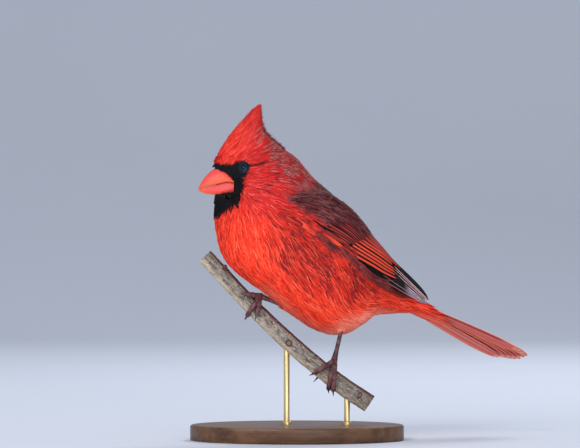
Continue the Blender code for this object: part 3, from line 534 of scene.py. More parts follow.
def on_open_wing(place, degrees, points, margin):
    """True for points more than a margin inside the open part of a wing."""
    x, z = seen_from_left(points, place)
    beside = (place > 6.5) & (np.abs(degrees) > wing_edges(place)[0] - 4) & (np.abs(degrees) < 90)
    return beside & (outline_distance(WING_SHOWN, x, z) < -margin)


def on_coat(place, degrees, points):
    """Feathers grow all over the body, except on the bill's horn and the open part of the wings."""
    horn = outline_distance(BILL_BARE, points[..., 0] / MM, points[..., 2] / MM) < 0.35
    return (place > 0.02) & (place < 16.4) & ~horn & ~on_open_wing(place, degrees, points, 0.0)


def roots(spread):
    """Scattered roots with the coat's spacing times a factor."""
    spacing = lambda p: np.interp(p, COAT_PLACES, COAT_SPACING) * spread
    return scattered_roots(dressed, 0.05, 16.6, spacing, on_coat)


UNDERCOAT_ROOTS = roots(1.0)
STRAND_ROOTS = roots(0.98)
print("coat of", len(UNDERCOAT_ROOTS[0]), "feathers and", len(STRAND_ROOTS[0]), "tufts of long barbs")

# %% [markdown]
# ## Laying the blades
#
# A feather starts a little inside the coat, walks over the surface in its own direction and rises slowly,
# so that its tip lies on the roots of the next ones. The directions are a short list of headings read at
# places of the left side, and every place between them takes a weighted mean: up the crown into the crest,
# round the cheek, down the breast and back along the flank.

# %% Lie of the coat
# x and z in millimetres on the left side, and how many degrees below level the feathers point there
LIE = np.array([
    (-47.6, 163.6, -58), (-40.0, 171.1, -55), (-37.7, 162.4, -50), (-30.2, 168.2, -50),
    (-33.1, 160.8, -35), (-22.6, 174.0, -52), (-20.3, 165.3, -32), (-12.8, 169.4, -12),
    (-4.1, 165.3, 25), (-20.3, 160.7, -10), (-7.0, 157.8, 20), (4.6, 155.4, 40), (13.3, 146.2, 40),
    (-23.8, 153.7, 0), (-14.5, 150.8, 8), (-4.1, 145.0, 16), (-28.4, 145.0, 28), (-20.3, 140.4, 35),
    (-11.0, 137.5, 32), (-1.2, 134.6, 28), (-33.1, 136.3, 66), (-40.0, 136.3, 75), (-43.5, 130.5, 85),
    (-43.5, 118.9, 86), (-36.0, 121.8, 80), (-27.3, 127.6, 72), (-18.6, 128.8, 58), (-8.7, 126.4, 46),
    (4.0, 122.0, 42), (-36.0, 104.4, 62), (-26.1, 110.2, 75), (-15.7, 110.2, 68), (-4.1, 109.0, 60),
    (7.5, 107.3, 56), (19.1, 103.2, 54), (30.7, 97.4, 54), (-24.4, 89.9, 50), (-12.8, 87.0, 58),
    (-1.2, 89.9, 62), (13.3, 87.0, 60), (27.8, 84.1, 56), (39.4, 87.0, 45), (-4.1, 74.2, 42),
    (7.5, 70.8, 45), (19.1, 69.6, 46), (30.7, 70.8, 25), (42.3, 76.6, 12), (56.8, 74.2, 12),
    (74.2, 70.8, 24), (51.0, 87.0, 34), (65.5, 78.3, 22), (19.1, 139.2, 32), (27.8, 130.5, 42),
    (19.1, 130.5, 30), (8.7, 137.5, 14), (1.7, 140.4, 10), (33.6, 120.6, 42), (42.3, 116.0, 48),
    (53.9, 104.4, 42),
])
LIE_ACROSS = np.stack([np.cos(np.radians(LIE[:, 2])), -np.sin(np.radians(LIE[:, 2]))], -1)


def lie(points, place):
    """Directions in space in which feathers at these points grow, along the bird's middle plane."""
    x, z = seen_from_left(points, place)
    apart = (x[..., None] - LIE[:, 0]) ** 2 + (z[..., None] - LIE[:, 1]) ** 2
    weights = 1 / (apart + 6.0) ** 2
    mean = weights @ LIE_ACROSS
    slope = np.tan(np.radians(np.interp(x, (-48, 0, 20, 60), (6, 13, 18, 22))))
    return np.stack([mean[..., 0], mean[..., 0] * slope, mean[..., 1]], -1)


def locks(points, reach, size):
    """A slowly changing angle, so that neighbouring feathers lean the same way."""
    values = [noise.noise(Vector(p) * (1000 / reach)) for p in points.tolist()]
    return np.array(values) * size


print("lie read from", len(LIE), "headings")

# %% Blades along a surface
WALK_STEPS = 4
FEATHER_RINGS = ((0.0, 0.7), (0.42, 1.0), (0.78, 0.75))
STRAND_RINGS = ((0.0, 0.5), (0.3, 1.0), (0.62, 0.9), (0.86, 0.6))
TRIANGLES_PER_PIECE = 190000
# how thick a blade is as a share of its width
BLADE_THICKNESS = 0.3


def stacked(stops):
    """What was kept at each stop, as one array for each kind of value."""
    return [np.stack(group, 1) for group in zip(*stops)]


def walks(surface, place, degrees, length, wander):
    """Points, normals and sideways directions along each feather's middle line."""
    stops = []
    place, degrees = place.copy(), degrees.copy()
    for _ in range(WALK_STEPS + 1):
        normal = slopes(surface, place, degrees)[2]
        points = surface(place, degrees)
        ahead = lie(points, place)
        ahead = ahead - normal * np.sum(ahead * normal, -1, keepdims=True)
        ahead = unit(ahead)
        ahead = ahead * np.cos(wander)[:, None] + np.cross(normal, ahead) * np.sin(wander)[:, None]
        stops.append((points, normal, np.cross(normal, ahead)))
        place, degrees = step_on(surface, place, degrees, ahead, length / WALK_STEPS)
    return stacked(stops)


def along_walk(track, share):
    """A value kept at the stops of each walk, read at a share of its length."""
    spot = np.clip(share, 0, 0.999) * WALK_STEPS
    i = spot.astype(int)
    f = (spot - i)[..., None]
    row = np.arange(len(track))[:, None, None]
    return track[row, i] * (1 - f) + track[row, i + 1] * f


def feather_blades(paths, at_uv, width, low, high, blades, rings=FEATHER_RINGS, splay=1.0, fill=1.5):
    """Fans of blades along walked lines.

    Low and high are the lifts of root and tip; fill is how far the blades of a fan overlap.
    """
    points, normals, sides = paths
    count = len(points)
    spread = np.linspace(-1, 1, blades)[None, :] + DRAW.uniform(-0.12, 0.12, (count, blades))
    reach = (1 - 0.3 * spread**2) * DRAW.uniform(0.82, 1.06, (count, blades))
    lean = DRAW.uniform(-0.14, 0.14, (count, blades))
    shares = np.array([share for share, _ in rings] + [1.0])[None, None, :]
    share = shares * reach[..., None]
    middle, normal, side = (along_walk(track, share) for track in (points, normals, sides))
    across = spread[..., None] * (0.3 + 0.7 * splay * shares**0.8) + lean[..., None] * shares**2
    rise = low[:, None, None] + (high - low)[:, None, None] * (1 - (1 - shares) ** 1.7)
    rise = rise + DRAW.normal(0, 0.10 * MM, (count, blades, 1)) * shares
    middle = middle + side * (across * width[:, None, None] / 2)[..., None] + normal * rise[..., None]
    blade_width = width[:, None] / blades * fill * DRAW.uniform(0.8, 1.2, (count, blades))
    verts, shading = [], []
    for k, (_, narrow) in enumerate(rings):
        half = (blade_width * narrow / 2)[..., None]
        beside, up = side[:, :, k], normal[:, :, k]
        verts += [middle[:, :, k] - beside * half, middle[:, :, k] + beside * half]
        verts.append(middle[:, :, k] + up * half * 2 * BLADE_THICKNESS)
        shading += [up - beside * 0.45, up + beside * 0.45, up]
    verts.append(middle[:, :, -1])
    shading.append(normal[:, :, -1])
    verts, shading = np.stack(verts, 2), np.stack(shading, 2)
    shading = unit(shading)
    along = np.array([share for share, _ in rings for _ in range(3)] + [1.0])
    along = np.broadcast_to(along, verts.shape[:3])
    patch = np.stack([spread[..., None] * 0.0013 + 0 * along, (along - 0.5) * 0.0026], -1)
    return {
        "verts": verts,
        "normals": shading,
        "uv": at_uv[:, None, None, :] + patch,
        "along": along,
        "tone": np.broadcast_to(DRAW.random((count, 1, 1)), verts.shape[:3]),
        "fleck": np.broadcast_to(DRAW.random((count, blades, 1)), verts.shape[:3]),
        "spots": verts[:, :, 3 * len(rings) - 4],
    }


def blade_faces(count, rings):
    """Triangles of that many blades of so many rings and a tip, every blade a closed solid."""
    one = []
    for low in range(0, 3 * rings - 3, 3):
        for a, b in ((0, 1), (1, 2), (2, 0)):
            one += [(low + a, low + b, low + b + 3), (low + a, low + b + 3, low + a + 3)]
    end, tip = 3 * rings - 3, 3 * rings
    one += [(end, end + 1, tip), (end + 1, end + 2, tip), (end + 2, end, tip), (0, 2, 1)]
    return (np.array(one)[None] + (tip + 1) * np.arange(count)[:, None, None]).reshape(-1, 3)


def coat_pieces(name, slot, made, place):
    """One object, or several where there are too many triangles for one."""
    feathers, blades, corners = made["verts"].shape[:3]
    rings = (corners - 1) // 3
    fields = markings(made["spots"], np.repeat(place[:, None], blades, 1))
    triangles = 6 * rings - 2
    parts = math.ceil(feathers * blades * triangles / TRIANGLES_PER_PIECE)
    objects = []
    for k in range(parts):
        chosen = slice(k * feathers // parts, (k + 1) * feathers // parts)
        flat = {key: made[key][chosen].reshape(-1, 3) for key in ("verts", "normals")}
        numbers = {key: made[key][chosen].ravel() for key in ("along", "tone", "fleck")}
        numbers.update({key: np.repeat(value[chosen].ravel(), corners) for key, value in fields.items()})
        faces = blade_faces(len(flat["verts"]) // corners, rings)
        label = name if parts == 1 else "%s_%d" % (name, k + 1)
        uv = made["uv"][chosen].reshape(-1, 2)
        objects.append(mesh_piece(label, flat["verts"], faces, slot, uv, flat["normals"], **numbers))
    return objects


print("a blade has", len(blade_faces(1, len(FEATHER_RINGS))), "triangles")

# %% The coat of head, neck and body
FEATHER_BLADES = 8
STRANDS_PER_TUFT = 4


def coat_lengths(place, factor):
    count = len(place)
    length = np.interp(place, COAT_PLACES, COAT_LENGTH) * factor * DRAW.uniform(0.82, 1.18, count) * MM
    width = np.interp(place, COAT_PLACES, COAT_WIDTH) * DRAW.uniform(0.85, 1.15, count) * MM
    return length, width


def in_order(found):
    """Roots sorted along the body, so that each piece is one stretch of it."""
    place, degrees = found
    order = np.lexsort((degrees, np.floor(place * 1.2)))
    return place[order], degrees[order]


def clear_of_wing(made, place, degrees, margin):
    """Which feathers keep their tips off the open part of the wings."""
    tips = made["verts"][:, :, -1].mean(1)
    return ~on_open_wing(place, degrees, tips, margin)


def laid_coat(name, found, blades, rings, factor, low, high, wobble, fill, contrast):
    """Feathers at all these roots. Contrast is how much single blades may differ in colour."""
    place, degrees = in_order(found)
    length, width = coat_lengths(place, factor)
    thin = np.interp(place, (0, 3, 8), (0.35, 0.7, 1.0)) * MM
    depth = np.interp(place, COAT_DEPTH_PLACES, COAT_DEPTH) * MM
    wander = locks(dressed(place, degrees), 16, 0.22) + DRAW.normal(0, wobble, len(place))
    paths = walks(dressed, place, degrees, length, wander)
    tips = high * thin + DRAW.normal(0, 0.16, len(place)) * thin
    made = feather_blades(paths, unwrap(place, degrees), width, low * depth, tips, blades, rings, fill=fill)
    made["fleck"] = 0.5 + (made["fleck"] - 0.5) * contrast
    kept = clear_of_wing(made, place, degrees, 1.6)
    made = {key: value[kept] for key, value in made.items()}
    return coat_pieces(name, "plumage", made, place[kept])


UNDERCOAT = laid_coat("coat", UNDERCOAT_ROOTS, FEATHER_BLADES, FEATHER_RINGS, 1.0, -0.8, 0.0, 0.07, 1.5, 0.5)
STRANDS = laid_coat("barbs", STRAND_ROOTS, STRANDS_PER_TUFT, STRAND_RINGS, 1.12, -0.25, 0.42, 0.07, 0.42, 1.0)
COAT = UNDERCOAT + STRANDS
print("coat in", len(COAT), "pieces,", sum(len(o.data.polygons) for o in COAT), "triangles")

# %% [markdown]
# ## The crest
#
# The crest is a tuft of long narrow crown feathers that the bird raises at will. It grows from the whole
# crown, so its roots run from the forehead to the nape, and its outline is a leaning cone with a sharp tip.
# The same blades serve, laid over a cone of its own.

# %% Crest
CREST_OUTLINE = np.array([
    (-47.4, 162.8, -8.0, 168.8, 7.0), (-41.2, 173.2, -13.6, 172.6, 6.6),
    (-34.6, 181.2, -18.6, 177.4, 5.2), (-28.8, 187.4, -20.6, 183.2, 3.5),
    (-24.4, 192.2, -20.9, 189.2, 1.9), (-21.2, 195.0, -20.8, 194.2, 0.4),
])
CREST_BLADES = 6
CREST_TOP = 195.1


def head_point(x, side, z):
    """A point given in the head's own plane and its distance to the left of it, in millimetres."""
    x, side, z = np.broadcast_arrays(x, side, z)
    y = SPINE[2, 1] + (x - SPINE[2, 0]) * math.tan(HEAD_TURN)
    return (np.stack([x, y, z], -1) + side[..., None] * HEAD_LEFT) * MM


def crest(place, degrees, shrink=0.0):
    """A point of the crest: 0 degrees is its front edge, 90 its left side, 180 its rear edge."""
    place, degrees = np.broadcast_arrays(np.asarray(place, float), np.asarray(degrees, float))
    front_x, front_z, rear_x, rear_z, half = np.moveaxis(spline(CREST_OUTLINE, place), -1, 0)
    angle = np.radians(degrees)
    length = np.maximum(0.2, np.hypot(rear_x - front_x, rear_z - front_z))
    share = 0.5 - 0.5 * np.cos(angle)
    share = share + (0.5 - share) * np.clip(shrink / length * 2, 0, 1)
    across = np.maximum(half - shrink, 0.1) * np.sin(angle)
    return head_point(front_x + (rear_x - front_x) * share, across, front_z + (rear_z - front_z) * share)


def make_crest_core(rows=40, columns=32):
    place = np.linspace(-0.5, 3.4, rows)[:, None]
    degrees = np.linspace(0, 360, columns, endpoint=False)[None, :]
    points, faces = lofted(crest(place, degrees, 1.3))
    nothing = np.zeros(len(points))
    uv = np.tile([0.5, 0.99], (len(points), 1)) + (points[:, [0, 2]] - points[:, [0, 2]].mean(0)) * 0.2
    numbers = dict(along=nothing + 0.35, tone=nothing + 0.5, fleck=nothing + 0.2)
    return mesh_piece("crest_core", points, faces, "plumage", uv, **numbers, **markings(points, nothing + 2))


def crest_uv(place, degrees):
    return unwrap(0.3 + 0.5 * place, degrees)


CREST_EDGE = [(row[0], row[1]) for row in CREST_OUTLINE] + [(row[2], row[3]) for row in CREST_OUTLINE[::-1]]
CREST_FRONT = CREST_OUTLINE[-1, :2] - CREST_OUTLINE[0, :2]
CREST_FRONT = CREST_FRONT / np.hypot(*CREST_FRONT)


def crest_plane(place, degrees):
    """x and z of the crest's own plane for a point of the crest."""
    front_x, front_z, rear_x, rear_z, _ = np.moveaxis(spline(CREST_OUTLINE, place), -1, 0)
    share = 0.5 - 0.5 * np.cos(np.radians(degrees))
    return front_x + (rear_x - front_x) * share, front_z + (rear_z - front_z) * share


CREST_GRID = np.meshgrid(np.linspace(-0.5, 5, 56), np.linspace(0, 180, 37))
CREST_PLACES, CREST_DEGREES = (values.ravel() for values in CREST_GRID)
CREST_X, CREST_Z = crest_plane(CREST_PLACES, CREST_DEGREES)


def onto_crest(x, z, sign):
    """Points, normals and places of the crest over its plane; past its outline they stay in the plane."""
    near = np.argmin((x[:, None] - CREST_X) ** 2 + (z[:, None] - CREST_Z) ** 2, axis=-1)
    place, degrees = CREST_PLACES[near], CREST_DEGREES[near] * sign
    off_x, off_z = x - CREST_X[near], z - CREST_Z[near]
    moved = np.stack([off_x, off_x * math.tan(HEAD_TURN), off_z], -1) * MM
    return crest(place, degrees) + moved, slopes(crest, place, degrees)[2], place


def comb_heading(x, z):
    """The crest's feathers lie along its front edge, and more level the farther behind it they grow."""
    behind = (x - CREST_OUTLINE[0, 0]) * CREST_FRONT[1] - (z - CREST_OUTLINE[0, 1]) * CREST_FRONT[0]
    return np.arctan2(CREST_FRONT[1], CREST_FRONT[0]) - np.radians(1.3 * np.clip(behind, 0, 16))


def room_ahead(x, z):
    """How far a feather can run before it leaves the crest's outline, in millimetres."""
    free, inside = np.zeros(len(x)), np.ones(len(x), bool)
    for _ in range(36):
        inside &= outline_distance(CREST_EDGE, x, z) < 0
        free += 0.5 * inside
        angle = comb_heading(x, z)
        x, z = x + 0.5 * np.cos(angle), z + 0.5 * np.sin(angle)
    return free


def make_crest(name, spread, blades, rings, low, high, fill, wobble):
    spacing = lambda p: np.interp(p, (0, 4), (1.1, 0.8)) * spread
    place, degrees = scattered_roots(crest, -0.1, 4.7, spacing, lambda p, d, points: p > -0.1)
    count, sign = len(place), np.where(degrees < 0, -1, 1)
    x, z = crest_plane(place, np.abs(degrees))
    past_edge = DRAW.uniform(-1.4, np.interp(z, (176, 192), (2.8, 0.6)), count)
    length = np.minimum(DRAW.uniform(8, 14, count), room_ahead(x, z) + past_edge)
    length = np.minimum(length, np.maximum(0.8, (CREST_TOP - z) / np.sin(comb_heading(x, z))))
    wander = DRAW.normal(0, wobble, count)
    track, normals = [], []
    for _ in range(WALK_STEPS + 1):
        points, normal, _ = onto_crest(x, z, sign)
        track.append(points)
        normals.append(normal)
        angle = comb_heading(x, z) + wander
        x, z = x + np.cos(angle) * length / WALK_STEPS, z + np.sin(angle) * length / WALK_STEPS
    track, normals = np.stack(track, 1), np.stack(normals, 1)
    ahead = np.gradient(track, axis=1)
    side = np.cross(normals, ahead)
    side /= np.maximum(1e-9, np.linalg.norm(side, axis=-1, keepdims=True))
    width = np.interp(place, (0, 2, 4), (2.8, 2.1, 1.3)) * MM
    high = DRAW.normal(high, 0.15, count) * MM
    made = feather_blades((track, normals, side), crest_uv(place, degrees), width, low * MM + 0 * high, high,
                          blades, rings, 0.8, fill)
    made["fleck"] = 0.5 + (made["fleck"] - 0.5) * (1.0 if low > -0.8 else 0.5)
    return coat_pieces(name, "plumage", made, np.full(count, 2.0))


def make_crown():
    """Feathers rooted on the crown that run up onto the crest and hide its foot."""
    on_top = lambda points: (points[..., 2] > 0.1560) & (points[..., 0] < -0.004)
    keep = lambda p, d, points: (p < 5.5) & on_top(points) & (np.abs(d) < 88)
    place, degrees = scattered_roots(dressed, 0.1, 5.5, lambda p: 1.05 + 0 * p, keep)
    start, normal = dressed(place, degrees), slopes(dressed, place, degrees)[2]
    x, z, sign = start[:, 0] / MM, start[:, 2] / MM, np.where(degrees < 0, -1, 1)
    angle = comb_heading(x, z) + DRAW.normal(0, 0.06, len(x))
    span = DRAW.uniform(7, 12, len(x))
    aim_x, aim_z = x + span * np.cos(angle), z + span * np.sin(angle)
    aim, aim_normal, aim_place = onto_crest(aim_x, aim_z, sign)
    good = (aim_place > 0.45) & (outline_distance(CREST_EDGE, aim_x, aim_z) < 0.6)
    kept = [values[good] for values in (place, degrees, start, normal, aim, aim_normal)]
    place, degrees, start, normal, aim, aim_normal = kept
    stops = []
    for k in range(WALK_STEPS + 1):
        f = k / WALK_STEPS
        up = normal * (1 - f) + aim_normal * f
        up = unit(up)
        side = np.cross(up, aim - start)
        stops.append((start * (1 - f) + aim * f, up, unit(side)))
    paths = stacked(stops)
    width = np.full(len(place), 2.2 * MM)
    low, high = np.full(len(place), -0.4 * MM), DRAW.normal(0.3, 0.15, len(place)) * MM
    made = feather_blades(paths, unwrap(place, degrees), width, low, high, 5, STRAND_RINGS, 0.9, 0.8)
    return coat_pieces("crown", "plumage", made, place)


CREST_CORE = make_crest_core()
CREST = make_crest("crest_feathers", 1.0, CREST_BLADES, FEATHER_RINGS, -1.0, 0.0, 1.4, 0.08)
CREST += make_crest("crest_barbs", 1.1, 4, STRAND_RINGS, -0.4, 0.35, 0.45, 0.09)
CREST += make_crown()
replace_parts(CREST[0], "crest")
print("crest of", sum(len(o.data.polygons) for o in CREST), "triangles")

# %% [markdown]
# ## Flight feathers and their coverts
#
# A flight feather is a shaft with a web each side, and in a folded wing only the outer webs show, one over
# the next like shingles. Each is a thin closed plate that follows the wing's surface, arched over its shaft
# and with a rounded tip. The tiers are listed as the real wing has them: primaries, secondaries, tertials
# and three rows of coverts, the innermost feather of each tier on top.

# %% Vanes on the wing
# tier: lower edge of the first and the last vane, each from its root to its tip as (place, degrees); lifts
# of root and tip of the first and the last in millimetres; width; how many; where across the vane its
# coloured edge starts, at root and tip; how orange the first and the last are; how pale
WING_TIERS = {
    "long_primary": (
        (10.5, 62), (16.4, 78), (10.6, 69), (16.75, 85), (-1.4, -0.2), (-1.6, -0.4),
        7.6, 2, 0.97, 0.92, (0.1, 0.1), 0.5,
    ),
    "primary": (
        (12.6, 20), (16.4, 60), (13.0, 47), (16.0, 69), (-0.9, 1.1), (-1.5, 0.0),
        4.6, 5, 0.86, 0.76, (0.1, 0.1), 0.95,
    ),
    "secondary": (
        (9.3, 50), (12.0, 29), (9.6, 70), (13.0, 46), (-0.3, 0.8), (-0.4, 0.1),
        6.6, 6, 0.60, 0.66, (0.9, 0.95), 0.0,
    ),
    "tertial": (
        (8.4, 22), (14.3, 16), (9.0, 46), (12.5, 26), (-0.5, 1.7), (-0.4, 1.0),
        7.6, 4, 0.2, 0.2, (0.2, 0.4), 0.0,
    ),
    "primary_covert": (
        (8.7, 70), (10.1, 65), (8.6, 78), (10.7, 70), (-0.8, -0.4), (-0.8, -0.5),
        5.0, 3, 0.3, 0.3, (0.1, 0.1), 0.0,
    ),
    "greater_covert": (
        (7.4, 42), (9.7, 41), (7.1, 80), (9.5, 66), (-0.3, 1.1), (-1.3, 0.5),
        5.6, 11, 0.46, 0.64, (0.06, 0.26), 0.0,
    ),
    "marginal_covert": (
        (7.0, 80), (9.1, 70), (7.1, 84), (9.35, 73), (-0.5, 0.3), (-0.5, 0.2),
        3.6, 2, -0.6, -0.3, (0.1, 1.0), 0.0,
    ),
    "median_covert": (
        (6.8, 50), (8.2, 46), (6.8, 76), (7.9, 74), (-0.9, 0.4), (-0.9, 0.5),
        5.2, 7, 0.46, 0.55, (0.05, 0.15), 0.0,
    ),
}
# the primaries do not bend round the rump: they lie straight, all in the plane of the wing's surface here
STRAIGHT_TIERS = ("long_primary", "primary")
PRIMARY_PLANE_AT = (14.8, 50)
VANE_ROWS, VANE_COLUMNS = 20, 11
VANE_THICKNESS = 0.16 * MM
SHINGLE_TILT = 0.12


def vane_outline(share, root_width=0.5, widest_at=0.6):
    """Width of a vane along its length as a share of its widest."""
    rising = root_width + (1 - root_width) * np.sin(np.clip(share / widest_at, 0, 1) * math.pi / 2)
    past = np.clip((share - widest_at) / (1 - widest_at), 0, 1)
    return np.where(share < widest_at, rising, np.sqrt(np.maximum(0.0, 1 - past**2.4)))


def vane_solid(tops, normals, thickness):
    """Points and triangles of a closed plate under a grid of points."""
    rows, columns = tops.shape[:2]
    points = np.concatenate([tops.reshape(-1, 3), (tops - normals * thickness).reshape(-1, 3)])
    top = grid_faces(rows, columns, closed=False)
    top = np.concatenate([top[:, [0, 1, 2]], top[:, [0, 2, 3]]])
    under = top[:, ::-1] + rows * columns
    index = np.arange(rows * columns).reshape(rows, columns)
    rim = np.concatenate([index[0], index[1:, -1], index[-1, -2::-1], index[-2:0:-1, 0]])
    after = np.roll(rim, -1)
    low, low_after = rim + rows * columns, after + rows * columns
    sides = np.concatenate([np.stack([rim, low, low_after], -1), np.stack([rim, low_after, after], -1)])
    return points, np.concatenate([top, under, sides])


def laid_vane(surface, root, tip, lifts, width, side, straight, tilt=SHINGLE_TILT):
    """A vane whose lower edge runs from root to tip on a surface: its points, faces and own numbers."""
    share = 1 - (1 - np.linspace(0, 1, VANE_ROWS)) ** 1.25
    place = root[0] + (tip[0] - root[0]) * share
    degrees = root[1] + (tip[1] - root[1]) * share
    along, around, up = slopes(surface, place, degrees * side)
    ahead = along * (tip[0] - root[0]) + around * (tip[1] - root[1]) * side
    across = np.cross(up, ahead)
    across = unit(across)
    across *= np.sign(np.sum(across * around * side, -1, keepdims=True))
    columns = np.linspace(-1, 1, VANE_COLUMNS)
    half = width / 2 * MM * vane_outline(share, 0.8)
    offset = half[:, None] * (columns[None, :] - 0.9)
    place, degrees = place[:, None] + 0 * offset, degrees[:, None] * side + 0 * offset
    direction = np.broadcast_to(across[:, None, :], offset.shape + (3,))
    at_place, at_degrees = step_on(surface, place, degrees, direction, offset)
    lift = (lifts[0] + (lifts[1] - lifts[0]) * share)[:, None] * MM
    lift = lift + half[:, None] * columns * tilt * share[:, None]
    lift = lift + (0.25 - 0.35 * columns**2) * 0.6 * MM * share[:, None]
    if straight:
        ends = surface(place[[0, -1], 0], degrees[[0, -1], 0])
        spot = np.array(PRIMARY_PLANE_AT[0]), np.array(PRIMARY_PLANE_AT[1] * side)
        plane = slopes(surface, *spot)[2]
        ends[:, 1] += (surface(*spot) - ends) @ plane / plane[1]
        up = np.broadcast_to(plane, up.shape)
        across = np.cross(plane, ends[1] - ends[0])
        across *= np.sign(np.dot(across, direction[VANE_ROWS // 3, 0])) / np.linalg.norm(across)
        line = ends[0] + (ends[1] - ends[0]) * share[:, None]
        tops = line[:, None] + across * offset[..., None] + up[:, None] * lift[..., None]
    else:
        tops = surface(at_place, at_degrees) + up[:, None, :] * lift[..., None]
    points, faces = vane_solid(tops, np.broadcast_to(up[:, None, :], tops.shape), VANE_THICKNESS)
    numbers = {
        "along": np.tile(np.repeat(share, VANE_COLUMNS), 2),
        "across": np.tile(np.tile(columns, VANE_ROWS), 2),
    }
    return points, faces, numbers


def vane_piece(name, slot, vanes, columns=8):
    """One object from several vanes, each with its own island of the map."""
    points, faces, uvs, numbers, start = [], [], [], {}, 0
    rows = math.ceil(len(vanes) / columns)
    for k, (vane_points, vane_faces, vane_numbers) in enumerate(vanes):
        points.append(vane_points)
        faces.append(vane_faces + start)
        start += len(vane_points)
        under = np.repeat([0.0, 1.0], len(vane_points) // 2)
        u = (k % columns + 0.06 + 0.42 * (vane_numbers["across"] * 0.5 + 0.5) + 0.46 * under) / columns
        v = (k // columns + 0.04 + 0.92 * vane_numbers["along"]) / rows
        uvs.append(np.stack([u, v], -1))
        for key, value in vane_numbers.items():
            numbers.setdefault(key, []).append(np.broadcast_to(value, len(vane_points)))
    numbers = {key: np.concatenate(value) for key, value in numbers.items()}
    points, faces, uv = (np.concatenate(arrays) for arrays in (points, faces, uvs))
    return mesh_piece(name, points, faces, slot, uv, **numbers)


def mixed_pair(first, last, f):
    """Two numbers at a share of the way from the first vane's to the last vane's."""
    return [a + (b - a) * f for a, b in zip(first, last)]


def make_wing(name, side):
    vanes = []
    for tier, row in WING_TIERS.items():
        root_in, tip_in, root_out, tip_out, lifts_in, lifts_out = row[:6]
        width, count, edge_root, edge_tip, orange, pale = row[6:]
        for k in range(count):
            f = k / (count - 1)
            root, tip = mixed_pair(root_in, root_out, f), mixed_pair(tip_in, tip_out, f)
            root[0] += DRAW.normal(0, 0.04)
            tip[0] += DRAW.normal(0, 0.07)
            lifts = mixed_pair(lifts_in, lifts_out, f)
            points, faces, numbers = laid_vane(wing, root, tip, lifts, width, side, tier in STRAIGHT_TIERS)
            longest = float(tier == "long_primary")
            numbers.update(edge=edge_root + (edge_tip - edge_root) * numbers["along"])
            numbers.update(orange=orange[0] + (orange[1] - orange[0]) * f**1.5)
            numbers.update(pale=pale, grey=longest, tone=DRAW.random())
            vanes.append((points, faces, numbers))
    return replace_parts(vane_piece(name + "_vanes", "flight_feathers", vanes), name)


def make_wing_pad(name, side):
    """The flesh of a wing under its vanes."""
    place = np.linspace(6.3, 12.6, 40)[:, None]
    upper, lower = wing_edges(place)
    share = np.linspace(0, 1, 16)[None, :]
    degrees = (upper + 6 + (lower - 5 - (upper + 6)) * share) * side
    place = place + 0 * share
    up = slopes(wing, place, degrees)[2]
    tops = wing(place, degrees) - up * 0.9 * MM
    points, faces = vane_solid(tops, up, 0.8 * MM)
    zero = np.zeros(len(points))
    uv = np.tile(unwrap(place, degrees).reshape(-1, 2), (2, 1))
    numbers = dict(along=zero, across=zero - 1, edge=zero, orange=zero, pale=zero, grey=zero, tone=zero)
    return mesh_piece(name + "_pad", points, faces, "flight_feathers", uv, **numbers)


SIDES = {"wing_left": 1, "wing_right": -1}
PADS = [make_wing_pad(name, side) for name, side in SIDES.items()]
WINGS = [make_wing(name, side) for name, side in SIDES.items()]
print("wings of", sum(len(o.data.polygons) for o in WINGS), "triangles")

# %% [markdown]
# ## The tail
#
# Six pairs of long feathers fan from the rump, the middle pair on top. They overlap like the slats of a
# fan, and from below the outermost shows whole.

# %% Tail
TAIL_ROOT_AT = 15.3
TAIL_PAIRS = 6
TAIL_ROOT_RAISED = 2.8
TAIL_SLOPE, TAIL_HEADING, TAIL_ROLL = 26.0, 22.9, 13.0
TAIL_LENGTH_MIDDLE, TAIL_LENGTH_OUTER = 88.6, 77.0
TAIL_FEATHER_WIDTH = 12.2
TAIL_SPREAD_DEGREES = 5.2
# name, 1 below the tail and 0 above it, how many, length of the longest in millimetres
TAIL_COVERT_ROWS = (("tail_coverts_above", 0, 60, 15), ("tail_coverts_below", 1, 140, 36))


def tail_frame():
    """Root, direction, left and up of the tail."""
    slope, heading, roll = (math.radians(a) for a in (TAIL_SLOPE, TAIL_HEADING, TAIL_ROLL))
    along = np.array([math.cos(slope), math.cos(slope) * math.tan(heading), -math.sin(slope)])
    along = unit(along)
    left = np.array([math.sin(heading), -math.cos(heading), 0])
    up = np.cross(along, left)
    up = up if up[2] > 0 else -up
    rolled_left = left * math.cos(roll) + up * math.sin(roll)
    rolled_up = up * math.cos(roll) - left * math.sin(roll)
    root = (spline(SPINE, TAIL_ROOT_AT)[:3] + np.array([0, 0, TAIL_ROOT_RAISED])) * MM
    return root, along, rolled_left, rolled_up


